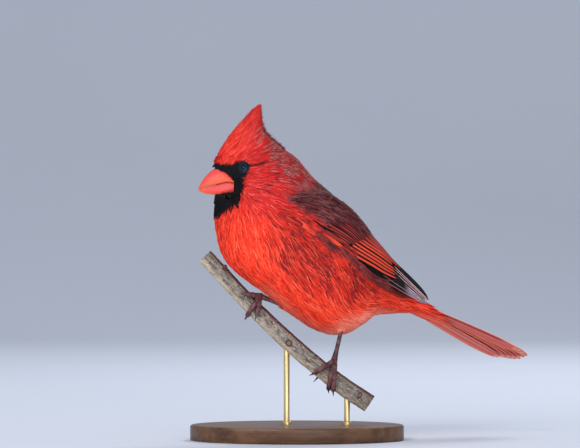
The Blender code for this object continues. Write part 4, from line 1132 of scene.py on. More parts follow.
def make_tail():
    root, along, left, up = tail_frame()
    vanes = []
    for pair in range(TAIL_PAIRS):
        outward = pair / (TAIL_PAIRS - 1)
        length = TAIL_LENGTH_MIDDLE + (TAIL_LENGTH_OUTER - TAIL_LENGTH_MIDDLE) * outward**1.5
        for side in (1, -1):
            angle = math.radians(TAIL_SPREAD_DEGREES) * (0.12 + outward)
            reach = along * math.cos(angle) + left * side * math.sin(angle)
            across = left * math.cos(angle) - along * side * math.sin(angle)
            level = (1.6 - 3.4 * outward + 0.15 * side) * MM
            start = root + left * side * (0.6 + 2.4 * outward) * MM
            share = 1 - (1 - np.linspace(0, 1, VANE_ROWS)) ** 1.3
            columns = np.linspace(-1, 1, VANE_COLUMNS)
            half = TAIL_FEATHER_WIDTH / 2 * MM * vane_outline(share, 0.4, 0.7)
            lean = up + across * side * 0.12
            lean = unit(lean)
            middle = start + reach * (length * MM * share)[:, None]
            middle = middle + up * (level * (0.4 + 0.6 * share))[:, None]
            arch = (0.28 - 0.5 * columns**2) * MM
            tops = middle[:, None] + across * (half[:, None] * columns)[..., None]
            tops = tops + lean * arch[None, :, None]
            tops = tops + lean * (0.25 * MM * DRAW.normal() * share[:, None, None])
            points, faces = vane_solid(tops, np.broadcast_to(lean, tops.shape), VANE_THICKNESS)
            numbers = {
                "along": np.tile(np.repeat(share, VANE_COLUMNS), 2),
                "across": np.tile(np.tile(columns * side, VANE_ROWS), 2),
                "tone": DRAW.random(),
                "under": np.repeat([0.0, 1.0], len(points) // 2),
                "outermost": float(pair == TAIL_PAIRS - 1 and side == 1),
            }
            vanes.append((points, faces, numbers))
    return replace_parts(vane_piece("tail_vanes", "tail_feathers", vanes, 6), "tail")


def make_tail_coverts():
    """Long soft feathers that lie along the foot of the tail, above and below it."""
    root, along, left, up = tail_frame()
    pieces = []
    for name, below, count, longest in TAIL_COVERT_ROWS:
        spot = DRAW.uniform(-1, 1, count)
        start_at = DRAW.uniform(-9, -1 + 9 * below, count)[:, None] * MM
        length = longest * DRAW.uniform(0.65, 1.0, count) * (1 - 0.35 * np.abs(spot)) * MM
        angle = math.radians(8.5 if below else 6.0) * spot + DRAW.normal(0, 0.02, count)
        reach = along * np.cos(angle)[:, None] + left * np.sin(angle)[:, None]
        sign = -1 if below else 1
        out = up * sign + left * (spot * 0.55)[:, None]
        out = unit(out)
        start = root + along * start_at + left * (spot * (6.4 if below else 4.0))[:, None] * MM
        start = start + up * sign * ((4.8 if below else 1.6) - 1.6 * spot[:, None] ** 2) * MM
        side = np.cross(out, reach)
        tracks = []
        for k in range(WALK_STEPS + 1):
            f = k / WALK_STEPS
            sink = (2.2 if below else 0.6) * f * MM
            tracks.append((start + reach * (length * f)[:, None] - up * sign * sink, out, side))
        paths = stacked(tracks)
        width = np.full(count, 4.4 * MM)
        low, high = np.full(count, -0.6 * MM), DRAW.normal(0.1, 0.25, count) * MM
        at_uv = unwrap(15.6 + 0 * spot, (180 if below else 0) + spot * 60)
        made = feather_blades(paths, at_uv, width, low, high, 10, FEATHER_RINGS, 0.9)
        pieces += coat_pieces(name, "plumage", made, 15.5 + 0 * spot)
    return pieces


TAIL = make_tail()
TAIL_COVERTS = make_tail_coverts()
print("tail of", len(TAIL.data.polygons), "triangles")

# %% [markdown]
# ## Bill
#
# The bill is a stout cone in two halves that meet along a mouth line with a downward kink at the gape. It
# is lofted from half ovals, finer than a few sections would give, because its gloss shows every facet.

# %% Bill
# x, culmen z, mouth line z, keel z, half width, in the head's own plane
BILL_SECTIONS = np.array([
    (-37.0, 152.0, 149.0, 142.4, 7.2),
    (-40.6, 156.2, 149.4, 141.7, 7.4),
    (-45.0, 157.8, 148.4, 141.7, 6.8),
    (-49.2, 156.2, 147.4, 142.2, 5.5),
    (-52.8, 152.8, 146.8, 142.8, 4.1),
    (-55.6, 148.6, 146.0, 143.7, 2.4),
])
BILL_TIP_UPPER = (-57.4, 144.35)
BILL_TIP_LOWER = (-56.5, 144.0)
BILL_TIP_SIZE = 0.3
NOSTRIL = (-44.6, 153.0)


def make_bill_half(name, upper):
    rows, columns = 60, 40
    tip_x, tip_z = BILL_TIP_UPPER if upper else BILL_TIP_LOWER
    tip_rows = (tip_x, tip_z + BILL_TIP_SIZE, tip_z, tip_z - BILL_TIP_SIZE, BILL_TIP_SIZE)
    table = np.concatenate([BILL_SECTIONS, np.array([tip_rows])])
    place = np.linspace(0, len(table) - 1, rows)
    x, culmen, mouth, keel, half = spline(table, place).T
    sign = 1 if upper else -1
    edge = mouth + sign * 0.12
    rise = (culmen if upper else keel) - edge
    angle = np.linspace(0, math.pi, columns)[None, :]
    across = half[:, None] * np.cos(angle)
    ridge = np.sin(angle) ** (0.86 if upper else 0.7)
    z = edge[:, None] + rise[:, None] * ridge
    if upper:
        dent = np.hypot((x[:, None] - NOSTRIL[0]) / 1.3, (z - NOSTRIL[1]) / 0.75)
        across = across * (1 - 0.05 * np.exp(-dent**2 * 1.2))
    rings = head_point(x[:, None] + 0 * across, across, z)
    points, faces = lofted(rings)
    place_of = np.append(np.repeat(place / place[-1], columns), [0, 1])
    height = np.append(np.tile(np.sin(angle[0]), rows), [0, 0])
    lower = np.full(len(points), 0.0 if upper else 1.0)
    piece = mesh_piece(name + "_horn", points, faces, "bill", toward_tip=place_of, height=height, lower=lower)
    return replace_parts(piece, name)


BILL = [make_bill_half("bill_upper", True), make_bill_half("bill_lower", False)]

# %% [markdown]
# ## Eyes
#
# The eye is a dark ball, mostly hidden in the head, with a narrow bare ring of lid round what shows. Ball
# and ring are primitives turned to look along the head's own surface.

# %% Eyes and lids
EYE_AT = (2.74, 70.5)
EYE_DEPTH = 2.75 * MM
EYEBALL_RADIUS = 4.1 * MM
LID_HEIGHT, LID_RADIUS, LID_THICKNESS = 2.8 * MM, 3.2 * MM, 0.34 * MM


def as_piece(obj, name):
    """Names a primitive, and lets it ride on the frame's body."""
    obj.name = obj.data.name = name
    obj.data.shade_smooth()
    return riding(obj)


def eye_axis(side):
    place, degrees = np.array(EYE_AT[0]), np.array(EYE_AT[1] * side)
    out = slopes(body, place, degrees)[2]
    return Vector(body(place, degrees) - out * EYE_DEPTH), Vector(out)


def make_eye(name, side):
    centre, out = eye_axis(side)
    turn = out.to_track_quat("Z", "Y").to_euler()
    ball_size = dict(segments=64, ring_count=40, radius=EYEBALL_RADIUS)
    bpy.ops.mesh.primitive_uv_sphere_add(location=centre, rotation=turn, **ball_size)
    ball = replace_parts(as_piece(bpy.context.object, name + "_ball"), name)
    ring_size = dict(major_segments=72, minor_segments=16, major_radius=LID_RADIUS, minor_radius=LID_THICKNESS)
    bpy.ops.mesh.primitive_torus_add(location=centre + out * LID_HEIGHT, rotation=turn, **ring_size)
    lid = as_piece(bpy.context.object, name + "_lids")
    return ball, lid


EYES = [make_eye("eye_left", 1), make_eye("eye_right", -1)]
print("eyes look along", [tuple(round(c, 2) for c in eye_axis(s)[1]) for s in (1, -1)])

# %% [markdown]
# ## Perch
#
# The branch is a slightly bowed, tapering round with low ridges in its bark. Its middle line and size are
# the solid's own; the ridges are noise that is stretched along the branch.

# %% Branch
PERCH_ROUTE = [(-53.4, 106.7), (-27.3, 78.6), (-1.2, 53.9), (24.9, 32.5), (42.0, 21.0)]
PERCH_MIDDLE = np.array(PERCH_ROUTE)
PERCH_LENGTH = sum(math.dist(a, b) for a, b in zip(PERCH_ROUTE, PERCH_ROUTE[1:]))
PERCH_RADIUS_HIGH, PERCH_RADIUS_LOW = 4.5, 5.4
BARK_ROWS, BARK_COLUMNS = 260, 80
# bud scars: share down the branch, degrees round it, size in millimetres
SCARS = [(0.085, 40, 1.5), (0.47, 96, 1.9), (0.74, 150, 1.6), (0.90, 75, 2.0), (0.33, -70, 1.8)]
BUD_SHARE, BUD_DEGREES, BUD_LENGTH, BUD_RADIUS = 0.085, 40, 2.6, 1.6


def perch_point(share):
    share = np.asarray(share, float)
    x, z = np.moveaxis(spline(PERCH_MIDDLE, share * (len(PERCH_ROUTE) - 1)), -1, 0)
    return np.stack([x, 0.6 * np.sin(2 * math.pi * share), z], -1) * MM


def perch_radius(share):
    return (PERCH_RADIUS_HIGH + (PERCH_RADIUS_LOW - PERCH_RADIUS_HIGH) * np.asarray(share)) * MM


def perch_frame(share):
    """Direction down the branch, its upper side and its near side."""
    along = perch_point(np.asarray(share) + 0.01) - perch_point(np.asarray(share) - 0.01)
    along = unit(along)
    near = np.broadcast_to(np.array([0.0, -1.0, 0.0]), along.shape)
    top = np.cross(near, along)
    top = unit(top)
    top *= np.sign(top[..., 2:3])
    return along, top, near


def round_perch(share, degrees, clearance=0.0):
    """Points off the bark: 0 degrees is the upper side, 90 the near side, 180 below."""
    share, degrees = np.broadcast_arrays(np.asarray(share, float), np.asarray(degrees, float))
    _, top, near = perch_frame(share)
    angle = np.radians(degrees)[..., None]
    reach = (perch_radius(share) + clearance)[..., None]
    return perch_point(share) + (top * np.cos(angle) + near * np.sin(angle)) * reach


def bark_height(share, degrees):
    """Low ridges and swellings of the bark in millimetres, and how much of a point is scar."""
    angle = np.radians(degrees)
    wobble = perch_radius(share) / MM * (0.025 * np.sin(3 * angle + 9 * share) + 0.015 * np.sin(17 * share))
    values = []
    for s, a in zip(share.ravel().tolist(), angle.ravel().tolist()):
        wide = Vector((math.cos(a) * 2.2, math.sin(a) * 2.2, s * 26))
        fine = Vector((math.cos(a) * 7.0, math.sin(a) * 7.0, s * 60))
        values.append(0.16 * noise.noise(wide) + 0.10 * noise.noise(fine))
    scar = np.zeros(np.shape(share))
    for at, turn, size in SCARS:
        across = ((degrees - turn + 180) % 360 - 180) / 360 * 2 * math.pi * perch_radius(share) / MM
        away = np.hypot((share - at) * PERCH_LENGTH, across)
        scar = np.maximum(scar, np.exp(-((away / size) ** 2)))
    return wobble + np.array(values).reshape(np.shape(share)) + 0.45 * scar, scar


def make_perch():
    share = np.linspace(0, 1, BARK_ROWS)[:, None] + np.zeros(BARK_COLUMNS)
    degrees = np.linspace(0, 360, BARK_COLUMNS, endpoint=False)[None, :] + np.zeros((BARK_ROWS, 1))
    height, scar = bark_height(share, degrees)
    points, faces = lofted(round_perch(share, degrees, height * MM))
    angle = np.append(np.radians(degrees.ravel()), [0.0, 0.0])
    numbers = dict(topside=np.cos(angle), nearside=np.sin(angle))
    numbers.update(cut=np.append(np.zeros(share.size), [1.0, 1.0]), scar=np.append(scar.ravel(), [0.0, 0.0]))
    piece = mesh_piece("branch", points, faces, "bark", **numbers)
    piece.data.set_sharp_from_angle(angle=math.radians(50))
    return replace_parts(piece, "perch")


def make_bud():
    """A small dead bud of overlapping scales."""
    share = np.linspace(0, 1, 40)
    foot = round_perch(BUD_SHARE, BUD_DEGREES, -0.8 * MM)
    tip = round_perch(BUD_SHARE - 0.008, BUD_DEGREES, BUD_LENGTH * MM)
    steps = (share * 3.999) % 1.0
    width = BUD_RADIUS * np.sqrt(np.maximum(0.02, 1 - share**2.2)) * (1 + 0.10 * steps) * MM
    points, faces = tube(foot + (tip - foot) * share[:, None], width, 28)
    nothing = np.zeros(len(points))
    numbers = dict(topside=nothing + 1, nearside=nothing, cut=nothing, scar=nothing)
    return mesh_piece("bud", points, faces, "bark", **numbers)


print("branch", round(PERCH_LENGTH, 1), "mm long")

# %% [markdown]
# ## Legs, feet and claws
#
# A songbird's foot has three toes forward and one back, and each closes round the perch. Every toe walks
# from the ball of the foot down onto the bark and round it. Its scales are rings that swell and step in
# along the tube, which a plain bevelled curve could not give.

# %% Feet
FEET = {
    "left": {
        "share": 0.660,
        "ball_degrees": 10,
        "ball_clearance": 3.4,
        "toes": {
            "inner": (-4.2, 122, 5.0),
            "middle": (7.6, 152, 5.5),
            "outer": (10.4, 138, 5.2),
            "hind": (-1.0, -118, 7.0),
        },
    },
    "right": {
        "share": 0.253,
        "ball_degrees": 8,
        "ball_clearance": 2.9,
        "toes": {
            "inner": (-5.6, 66, 5.0),
            "middle": (2.6, 146, 6.6),
            "outer": (5.2, 96, 5.2),
            "hind": (2.0, -118, 7.0),
        },
    },
}
HEELS = {"left": (27.0, -3.0, 69.5), "right": (-3.0, 6.0, 75.8)}
TOE_RADIUS_ROOT, TOE_RADIUS_END = 1.6, 1.3
BARK_CLEARANCE = 0.4
CLAW_RADIUS = 0.85
TARSUS_RADIUS = 1.3


def tube(path, radii, sides=20, squash=1.0):
    """Rings round a path of points, each ring square to the path."""
    ahead = np.gradient(path, axis=0)
    ahead = unit(ahead)
    side = np.cross(ahead, [0.0, 0.0, 1.0])
    weak = np.linalg.norm(side, axis=-1) < 1e-3
    side[weak] = [0.0, 1.0, 0.0]
    side = unit(side)
    for k in range(1, len(side)):
        if np.dot(side[k], side[k - 1]) < 0:
            side[k] *= -1
    up = np.cross(side, ahead)
    angle = np.linspace(0, 2 * math.pi, sides, endpoint=False)
    ring = side[:, None] * np.cos(angle)[None, :, None] + up[:, None] * np.sin(angle)[None, :, None] * squash
    return lofted(path[:, None] + ring * np.asarray(radii)[:, None, None])


def scales(share, count, height=0.07):
    """Radius factor of a ringed scaly skin: each scale swells slowly and steps back in."""
    f = (share * count) % 1.0
    return 1 + height * (f**0.6 - 0.5) - 0.4 * height * (f > 0.93)


def toe_line(foot, toe, f):
    """Points of a toe's middle line, from the ball onto the bark and round it."""
    shape = FEET[foot]
    down, degrees, _ = shape["toes"][toe]
    share = shape["share"] + down * f / PERCH_LENGTH
    angle = shape["ball_degrees"] + (degrees - shape["ball_degrees"]) * f
    resting = TOE_RADIUS_ROOT + (TOE_RADIUS_END - TOE_RADIUS_ROOT) * np.minimum(f, 1) + BARK_CLEARANCE
    lift = shape["ball_clearance"] + (resting - shape["ball_clearance"]) * smooth(f * 2.6)
    return round_perch(share, angle, lift * MM)


def ball_of(foot):
    """Where the toes of a foot meet, over the bark."""
    shape = FEET[foot]
    return round_perch(shape["share"], shape["ball_degrees"], shape["ball_clearance"] * MM)


def merged(parts):
    """Points and faces of several solids as one."""
    points, faces, start = [], [], 0
    for part_points, part_faces in parts:
        points.append(part_points)
        faces.append(part_faces + start)
        start += len(part_points)
    return np.concatenate(points), np.concatenate(faces)


def make_foot(foot):
    parts = []
    for toe in FEET[foot]["toes"]:
        f = np.linspace(0, 1, 90)
        swell = 1 + 0.10 * np.exp(-((f - 0.5) / 0.09) ** 2) + 0.12 * np.exp(-((f - 0.93) / 0.07) ** 2)
        radii = (TOE_RADIUS_ROOT + (TOE_RADIUS_END - TOE_RADIUS_ROOT) * f) * swell * scales(f, 11) * MM
        parts.append(tube(toe_line(foot, toe, f), radii))
    centre = ball_of(foot)
    heel = np.array(HEELS[foot]) * MM
    f = np.linspace(0.0, 1, 140)
    path = heel + (centre - heel) * f[:, None]
    girth = np.interp(f, (0, 0.35, 0.7, 0.88, 1), (1.15, 0.92, 0.95, 1.25, 1.6))
    radii = TARSUS_RADIUS * MM * girth * scales(f, 13, 0.06)
    shank = tube(path, radii, 24)
    points, faces = merged(parts)
    foot_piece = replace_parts(mesh_piece("foot_%s_toes" % foot, points, faces, "leg_skin"), "foot_" + foot)
    leg_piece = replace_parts(mesh_piece("leg_%s_shank" % foot, *shank, "leg_skin"), "leg_" + foot)
    return foot_piece, leg_piece


def make_claws(foot):
    parts = []
    for toe, (down, _, length) in FEET[foot]["toes"].items():
        ends = toe_line(foot, toe, np.array([0.985, 1.0]))
        ahead = ends[1] - ends[0]
        ahead = unit(ahead)
        share = FEET[foot]["share"] + down / PERCH_LENGTH
        outward = ends[1] - perch_point(share)
        outward = unit(outward)
        f = np.linspace(0, 1, 26)[:, None]
        arch = (0.9 * f - 1.0 * f**2) * MM
        path = ends[1] + ahead * (length * f - 0.5) * MM + outward * (arch + 0.15 * MM)
        radii = (CLAW_RADIUS + (0.06 - CLAW_RADIUS) * f[:, 0] ** 0.85) * MM
        parts.append(tube(path, radii, 16, 1.25))
    points, faces = merged(parts)
    names = ["claw_%s_%s" % (foot, toe) for toe in FEET[foot]["toes"]]
    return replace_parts(mesh_piece("claws_" + foot, points, faces, "claw"), *names)


def make_trousers(foot):
    """Soft feathers round the top of the leg, where it comes out of the belly."""
    heel = np.array(HEELS[foot]) * MM
    centre = ball_of(foot)
    down = (centre - heel) / np.linalg.norm(centre - heel)
    count = 90
    angle = DRAW.uniform(0, 2 * math.pi, count)
    start_at = DRAW.uniform(-5.5, 2.0, count) * MM
    one = np.cross(down, [0.0, 1.0, 0.0])
    one = unit(one)
    two = np.cross(down, one)
    out = one * np.cos(angle)[:, None] + two * np.sin(angle)[:, None]
    length = DRAW.uniform(5.5, 8.0, count) * MM
    girth = np.interp(start_at, (-5.5 * MM, 2 * MM), (4.6, 2.4))
    tracks = []
    for k in range(WALK_STEPS + 1):
        f = k / WALK_STEPS
        spot = heel + down * (start_at + length * f)[:, None]
        ring = (1.5 + (girth - 1.5) * (1 - f) ** 1.3)[:, None] * MM
        tracks.append((spot + out * ring, out, np.cross(out, down)))
    paths = stacked(tracks)
    width = np.full(count, 2.6 * MM)
    low, high = np.full(count, -0.3 * MM), DRAW.normal(0.2, 0.15, count) * MM
    at_uv = unwrap(12.5 + 0 * angle, 180 + 60 * np.cos(angle))
    made = feather_blades(paths, at_uv, width, low, high, 6, fill=1.2)
    return coat_pieces("thigh_" + foot, "plumage", made, 12.5 + 0 * angle)


FEET_PIECES = [make_foot(foot) for foot in FEET]
CLAWS = [make_claws(foot) for foot in FEET]
TROUSERS = [piece for foot in FEET for piece in make_trousers(foot)]
PERCH = [make_perch(), make_bud()]
print("feet", sum(len(piece.data.polygons) for pair in FEET_PIECES for piece in pair), "triangles")

# %% [markdown]
# ## Stand
#
# The branch is a short cut length, so a flat oval foot and two thin rods carry it, as a museum would.

# %% Base and rods
BASE_LENGTH, BASE_DEPTH, BASE_THICKNESS = 124.0, 86.0, 9.0
BASE_EDGE = 1.4


def make_base():
    angle = np.linspace(0, 2 * math.pi, 160, endpoint=False)
    rings = []
    steps = [(0.6, 0.0), (0.0, 0.6)]
    steps += [(BASE_EDGE * (1 - math.cos(a)), BASE_THICKNESS - BASE_EDGE * (1 - math.sin(a)))
              for a in np.linspace(0, math.pi / 2, 8)]
    steps += [(BASE_LENGTH / 2 * f, BASE_THICKNESS) for f in (0.1, 0.4, 0.7, 0.98)]
    for inset, z in steps:
        half = [BASE_LENGTH / 2 - inset, max(BASE_DEPTH / 2 - inset * BASE_DEPTH / BASE_LENGTH, 0.2)]
        rings.append(np.stack([half[0] * np.cos(angle), half[1] * np.sin(angle), np.full(160, z)], -1) * MM)
    points, faces = lofted(np.array(rings))
    piece = mesh_piece("stand_base_oval", points, faces, "stand_wood")
    piece.data.set_sharp_from_angle(angle=math.radians(60))
    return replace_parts(piece, "stand_base")


def make_rod(name):
    low, high = (np.array(corner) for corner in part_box(name))
    middle = (low + high) / 2
    radius = (high[0] - low[0]) / 2
    heights = [low[2] - 0.0003, low[2] + 0.0012, low[2] + 0.0016, low[2] + 0.0016, high[2] - 0.0004, high[2]]
    widths = [radius * 1.7, radius * 1.7, radius * 1.5, radius, radius, radius * 0.9]
    path = np.array([[middle[0], middle[1], z] for z in heights])
    angle = np.linspace(0, 2 * math.pi, 48, endpoint=False)
    ring = np.stack([np.cos(angle), np.sin(angle), 0 * angle], -1)
    points, faces = lofted(path[:, None] + ring[None] * np.array(widths)[:, None, None])
    piece = mesh_piece(name + "_turned", points, faces, "stand_metal")
    piece.data.set_sharp_from_angle(angle=math.radians(40))
    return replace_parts(piece, name)


BASE = make_base()
RODS = [make_rod("stand_rod_upper"), make_rod("stand_rod_lower")]

# %% [markdown]
# ## Writing materials as sums
#
# Node trees are easier to read as formulas. Wire stands for one output of a node, and adding or multiplying
# wires adds the Math nodes. Finish holds a material and has the one method by which every other node is
# made: its type, its settings, and then the values or wires of its sockets.

# %% A wire and a finish


class Wire:
    """One output of a shader node, ready for arithmetic."""

    def __init__(self, finish, socket):
        self.finish = finish
        self.socket = socket

    def maths(self, operation, *values):
        sockets = dict(enumerate(values))
        return self.finish.add("ShaderNodeMath", {"operation": operation}, sockets)

    def __add__(self, other):
        return self.maths("ADD", self, other)

    def __sub__(self, other):
        return self.maths("SUBTRACT", self, other)

    def __rsub__(self, other):
        return self.maths("SUBTRACT", other, self)

    def __mul__(self, other):
        return self.maths("MULTIPLY", self, other)

    def __truediv__(self, other):
        return self.maths("DIVIDE", self, other)

    def __pow__(self, other):
        return self.maths("POWER", self, other)

    def sine(self):
        return self.maths("SINE", self)

    def size(self):
        return self.maths("ABSOLUTE", self)

    def between(self, low, high):
        """0 below low, 1 above high, smooth between."""
        settings = {"interpolation_type": "SMOOTHSTEP"}
        sockets = {"Value": self, "From Min": low, "From Max": high}
        return self.finish.add("ShaderNodeMapRange", settings, sockets)

    __radd__ = __add__
    __rmul__ = __mul__


class Finish:
    """A material with one Principled shader; constants go on the shader's own sockets."""

    def __init__(self, name, **constants):
        self.material = bpy.data.materials.new(name)
        self.material.use_nodes = True
        self.tree = self.material.node_tree
        self.shader = self.tree.nodes["Principled BSDF"]
        for key, value in constants.items():
            self.feed(self.shader.inputs[key.replace("_", " ")], value)

    def feed(self, socket, value):
        if isinstance(value, Wire):
            self.tree.links.new(value.socket, socket)
        elif socket.type == "RGBA":
            socket.default_value = (*value[:3], 1.0)
        else:
            socket.default_value = value

    def add(self, kind, settings=None, sockets=None, output=0):
        node = self.tree.nodes.new(kind)
        for key, value in (settings or {}).items():
            if key == "stops":
                while len(node.color_ramp.elements) < len(value):
                    node.color_ramp.elements.new(0.5)
                for element, (position, colour) in zip(node.color_ramp.elements, value):
                    element.position = position
                    element.color = (*colour, 1.0)
            else:
                setattr(node, key, value)
        for key, value in (sockets or {}).items():
            self.feed(node.inputs[key], value)
        return Wire(self, node.outputs[output])

    def number(self, name):
        """A number that the mesh keeps at each point."""
        return self.add("ShaderNodeAttribute", {"attribute_name": name}, output="Fac")

    def place(self, scale=(1, 1, 1), turn=(0, 0, 0)):
        """The point's place in metres, turned and then stretched."""
        spot = self.add("ShaderNodeTexCoord", output="Object")
        turned = self.add("ShaderNodeMapping", {}, {"Vector": spot, "Rotation": turn})
        return self.add("ShaderNodeMapping", {}, {"Vector": turned, "Scale": scale})

    def grain(self, scale, detail=3.0, roughness=0.55, stretch=(1, 1, 1), turn=(0, 0, 0)):
        sockets = {"Vector": self.place(stretch, turn), "Scale": scale}
        sockets.update({"Detail": detail, "Roughness": roughness})
        return self.add("ShaderNodeTexNoise", {}, sockets)

    def blend(self, share, first, second, kind="MIX"):
        settings = {"data_type": "RGBA", "blend_type": kind}
        return self.add("ShaderNodeMix", settings, {0: share, 6: first, 7: second}, 2)

    def finish(self, **sockets):
        for key, value in sockets.items():
            self.feed(self.shader.inputs[key.replace("_", " ")], value)
        return self.material

    def bumped(self, height, strength=0.3, distance=0.0002):
        sockets = {"Strength": strength, "Distance": distance, "Height": height}
        return self.add("ShaderNodeBump", {}, sockets, "Normal")


def dress(pieces, material):
    for piece in pieces:
        piece.data.materials.clear()
        piece.data.materials.append(material)


# %% [markdown]
# ## Plumage
#
# Red pigment sits in the barbs of the tips, while the bases of the feathers are grey and dusky. So colour
# runs along each blade from dark to bright, and whole feathers and single blades differ a little in tone.
# The fields of colour are then laid over that. A few blades are painted highlights, pale strands where
# light catches the barbs, and a few are painted shade, dark strands that stand for the gaps between barbs.

# %% Plumage colours
RED = (0.88, 0.027, 0.014)
RED_ORANGE = (1.0, 0.068, 0.022)
RED_DEEP = (0.40, 0.008, 0.010)
COOL_RED = (0.50, 0.016, 0.017)
COOL_LIGHT = (0.70, 0.030, 0.026)
HIGHLIGHT_ORANGE = (1.0, 0.17, 0.09)
HIGHLIGHT_PINK = (0.85, 0.15, 0.13)
FLANK_RED = (0.33, 0.012, 0.010)
# painted shade between blades: on the flank, on the breast, on the mantle; then painted shade in the hollow by
# the wing, and in a crease
FLANK_GAP_SHADE = (0.10, 0.010, 0.012)
BREAST_GAP_SHADE = (0.30, 0.01, 0.012)
MANTLE_GAP_SHADE = (0.010, 0.004, 0.007)
SHADE_DARK = (0.014, 0.006, 0.009)
CREASE_SHADE = (0.035, 0.006, 0.009)
NAPE_TIP = (0.37, 0.22, 0.21)
NAPE_DARK = (0.16, 0.040, 0.045)
MAROON = (0.046, 0.015, 0.019)
MAROON_RED = (0.18, 0.036, 0.038)
MANTLE_GREY = (0.24, 0.13, 0.135)
SOOT = (0.005, 0.005, 0.007)
LIT_VENT_PINK = (1.0, 0.30, 0.20)


def plumage_finish():
    coat = Finish("plumage", Roughness=0.7, Specular_IOR_Level=0.12)
    along, tone, fleck = coat.number("along"), coat.number("tone"), coat.number("fleck")
    patches = coat.grain(110, 2)
    # a field's edge is ragged, because each blade is wholly in it or out of it
    fields = ("nape", "mantle", "shade")
    ragged = {name: (coat.number(name) + (fleck - 0.5) * 0.7).between(0.38, 0.62) for name in fields}
    flank = coat.number("flank")
    cool, mixed = coat.number("cool"), tone * 0.5 + patches * 0.6
    body_red = coat.blend(cool, coat.blend(mixed, RED, RED_ORANGE), coat.blend(mixed, COOL_RED, COOL_LIGHT))
    red = coat.blend(along.between(-0.2, 0.55), RED_DEEP, body_red)
    red = coat.blend((1 - fleck.between(0.15, 0.55)) * 0.55, red, RED_DEEP)
    # painted highlight: a few blades are pale strands where light catches the barbs
    highlight_share = fleck.between(0.76, 0.92) * (0.62 - flank * 0.22)
    # the flank's browner red: partly its own duller colour, partly painted shade near the wing
    red = coat.blend(flank * (0.44 + patches.between(0.3, 0.6) * 0.30), red, FLANK_RED)
    red = coat.blend(highlight_share, red, coat.blend(cool, HIGHLIGHT_ORANGE, HIGHLIGHT_PINK))
    # painted shade: a few blades are dark strands that stand for the gaps between barbs, more on the flank
    gap_shade_share = (0.15 + flank * (0.10 + patches.between(0.34, 0.60) * 0.22)) * (1 - coat.number("pale"))
    gap = coat.blend(flank, BREAST_GAP_SHADE, FLANK_GAP_SHADE)
    red = coat.blend((gap_shade_share - fleck).between(-0.04, 0.05) * 0.85, red, gap)
    # the vent's own paler pink, brightened as painted light from below, most along the lowest line
    red = coat.blend(coat.number("pale") * (0.35 + fleck * 0.65), red, LIT_VENT_PINK)
    speckle = coat.blend((fleck * 0.7 + along * 0.45).between(0.5, 0.9), NAPE_DARK, NAPE_TIP)
    speckle = coat.blend(tone.between(0.40, 0.70), speckle, RED_DEEP)
    red = coat.blend(ragged["nape"] * 0.82, red, speckle)
    maroon = coat.blend((fleck * 0.8 + tone * 0.3).between(0.40, 0.95), MAROON, MAROON_RED)
    maroon = coat.blend((tone * 0.6 + fleck * 0.6).between(0.72, 0.95) * along * 0.8, maroon, MANTLE_GREY)
    # painted shade: a few of the back's blades are dark strands for the gaps between them
    maroon = coat.blend((0.22 - fleck).between(-0.03, 0.05), maroon, MANTLE_GAP_SHADE)
    red = coat.blend(ragged["mantle"] * 0.95, red, maroon)
    # painted shade under the wing's edges
    red = coat.blend(ragged["shade"] * 0.85, red, coat.blend(fleck, SHADE_DARK, MAROON_RED))
    # painted shade in the face's creases
    red = coat.blend(coat.number("crease") * 0.85, red, CREASE_SHADE)
    colour = coat.blend((coat.number("mask") + (fleck - 0.5) * 0.3).between(0.4, 0.6), red, SOOT)
    return coat.finish(Base_Color=colour)


PLUMAGE = plumage_finish()
dress([SKIN, CREST_CORE] + COAT + CREST + TAIL_COVERTS + TROUSERS, PLUMAGE)
print("plumage has", len(PLUMAGE.node_tree.nodes), "nodes")

# %% [markdown]
# ## Wing and tail webs
#
# The outer web of each flight feather is edged with orange-red, and the web inside the shaft is nearly
# black. The barbs show as fine slanting lines, which a sine of the vane's own numbers draws without any
# picture.

# %% Web colours
WEB_ORANGE = (0.86, 0.075, 0.030)
WEB_MAROON = (0.17, 0.018, 0.020)
WEB_BLACK = (0.008, 0.006, 0.008)
EDGE_WHITE = (0.62, 0.42, 0.42)
LAVENDER_GREY_AND_SHEEN = (0.27, 0.23, 0.29)
TAIL_ROSE = (0.66, 0.125, 0.115)
TAIL_CRIMSON = (0.24, 0.012, 0.016)
TAIL_ORANGE = (0.95, 0.16, 0.060)
TAIL_PALE = (0.98, 0.42, 0.30)
BARB_SLANT = 0.16
FULL_TURN = 6.283


def barbs(across, along, count):
    """Fine lines that slant from the shaft towards the tip."""
    return ((along * count - across.size() * count * BARB_SLANT) * FULL_TURN).sine() * 0.5 + 0.5


def wing_finish():
    web = Finish("wing_webs", Roughness=0.65, Specular_IOR_Level=0.08)
    across, along, tone = web.number("across"), web.number("along"), web.number("tone")
    lines = barbs(across, along, 70)
    edge_colour = web.blend(web.number("orange") * (0.8 + tone * 0.2), WEB_MAROON, WEB_ORANGE)
    edge_colour = web.blend(web.number("pale"), edge_colour, EDGE_WHITE)
    edge_colour = web.blend(lines * 0.22, edge_colour, WEB_MAROON)
    # the longest primaries turn lavender towards their tips: partly the web's own grey, partly painted sheen
    inner = web.blend(web.number("grey") * along.between(0.62, 0.76), WEB_BLACK, LAVENDER_GREY_AND_SHEEN)
    colour = web.blend((across - web.number("edge")).between(-0.06, 0.04), inner, edge_colour)
    height = lines * 0.5 + (1 - (across * 9).size()).between(0, 1)
    return web.finish(Base_Color=colour, Normal=web.bumped(height, 0.2))


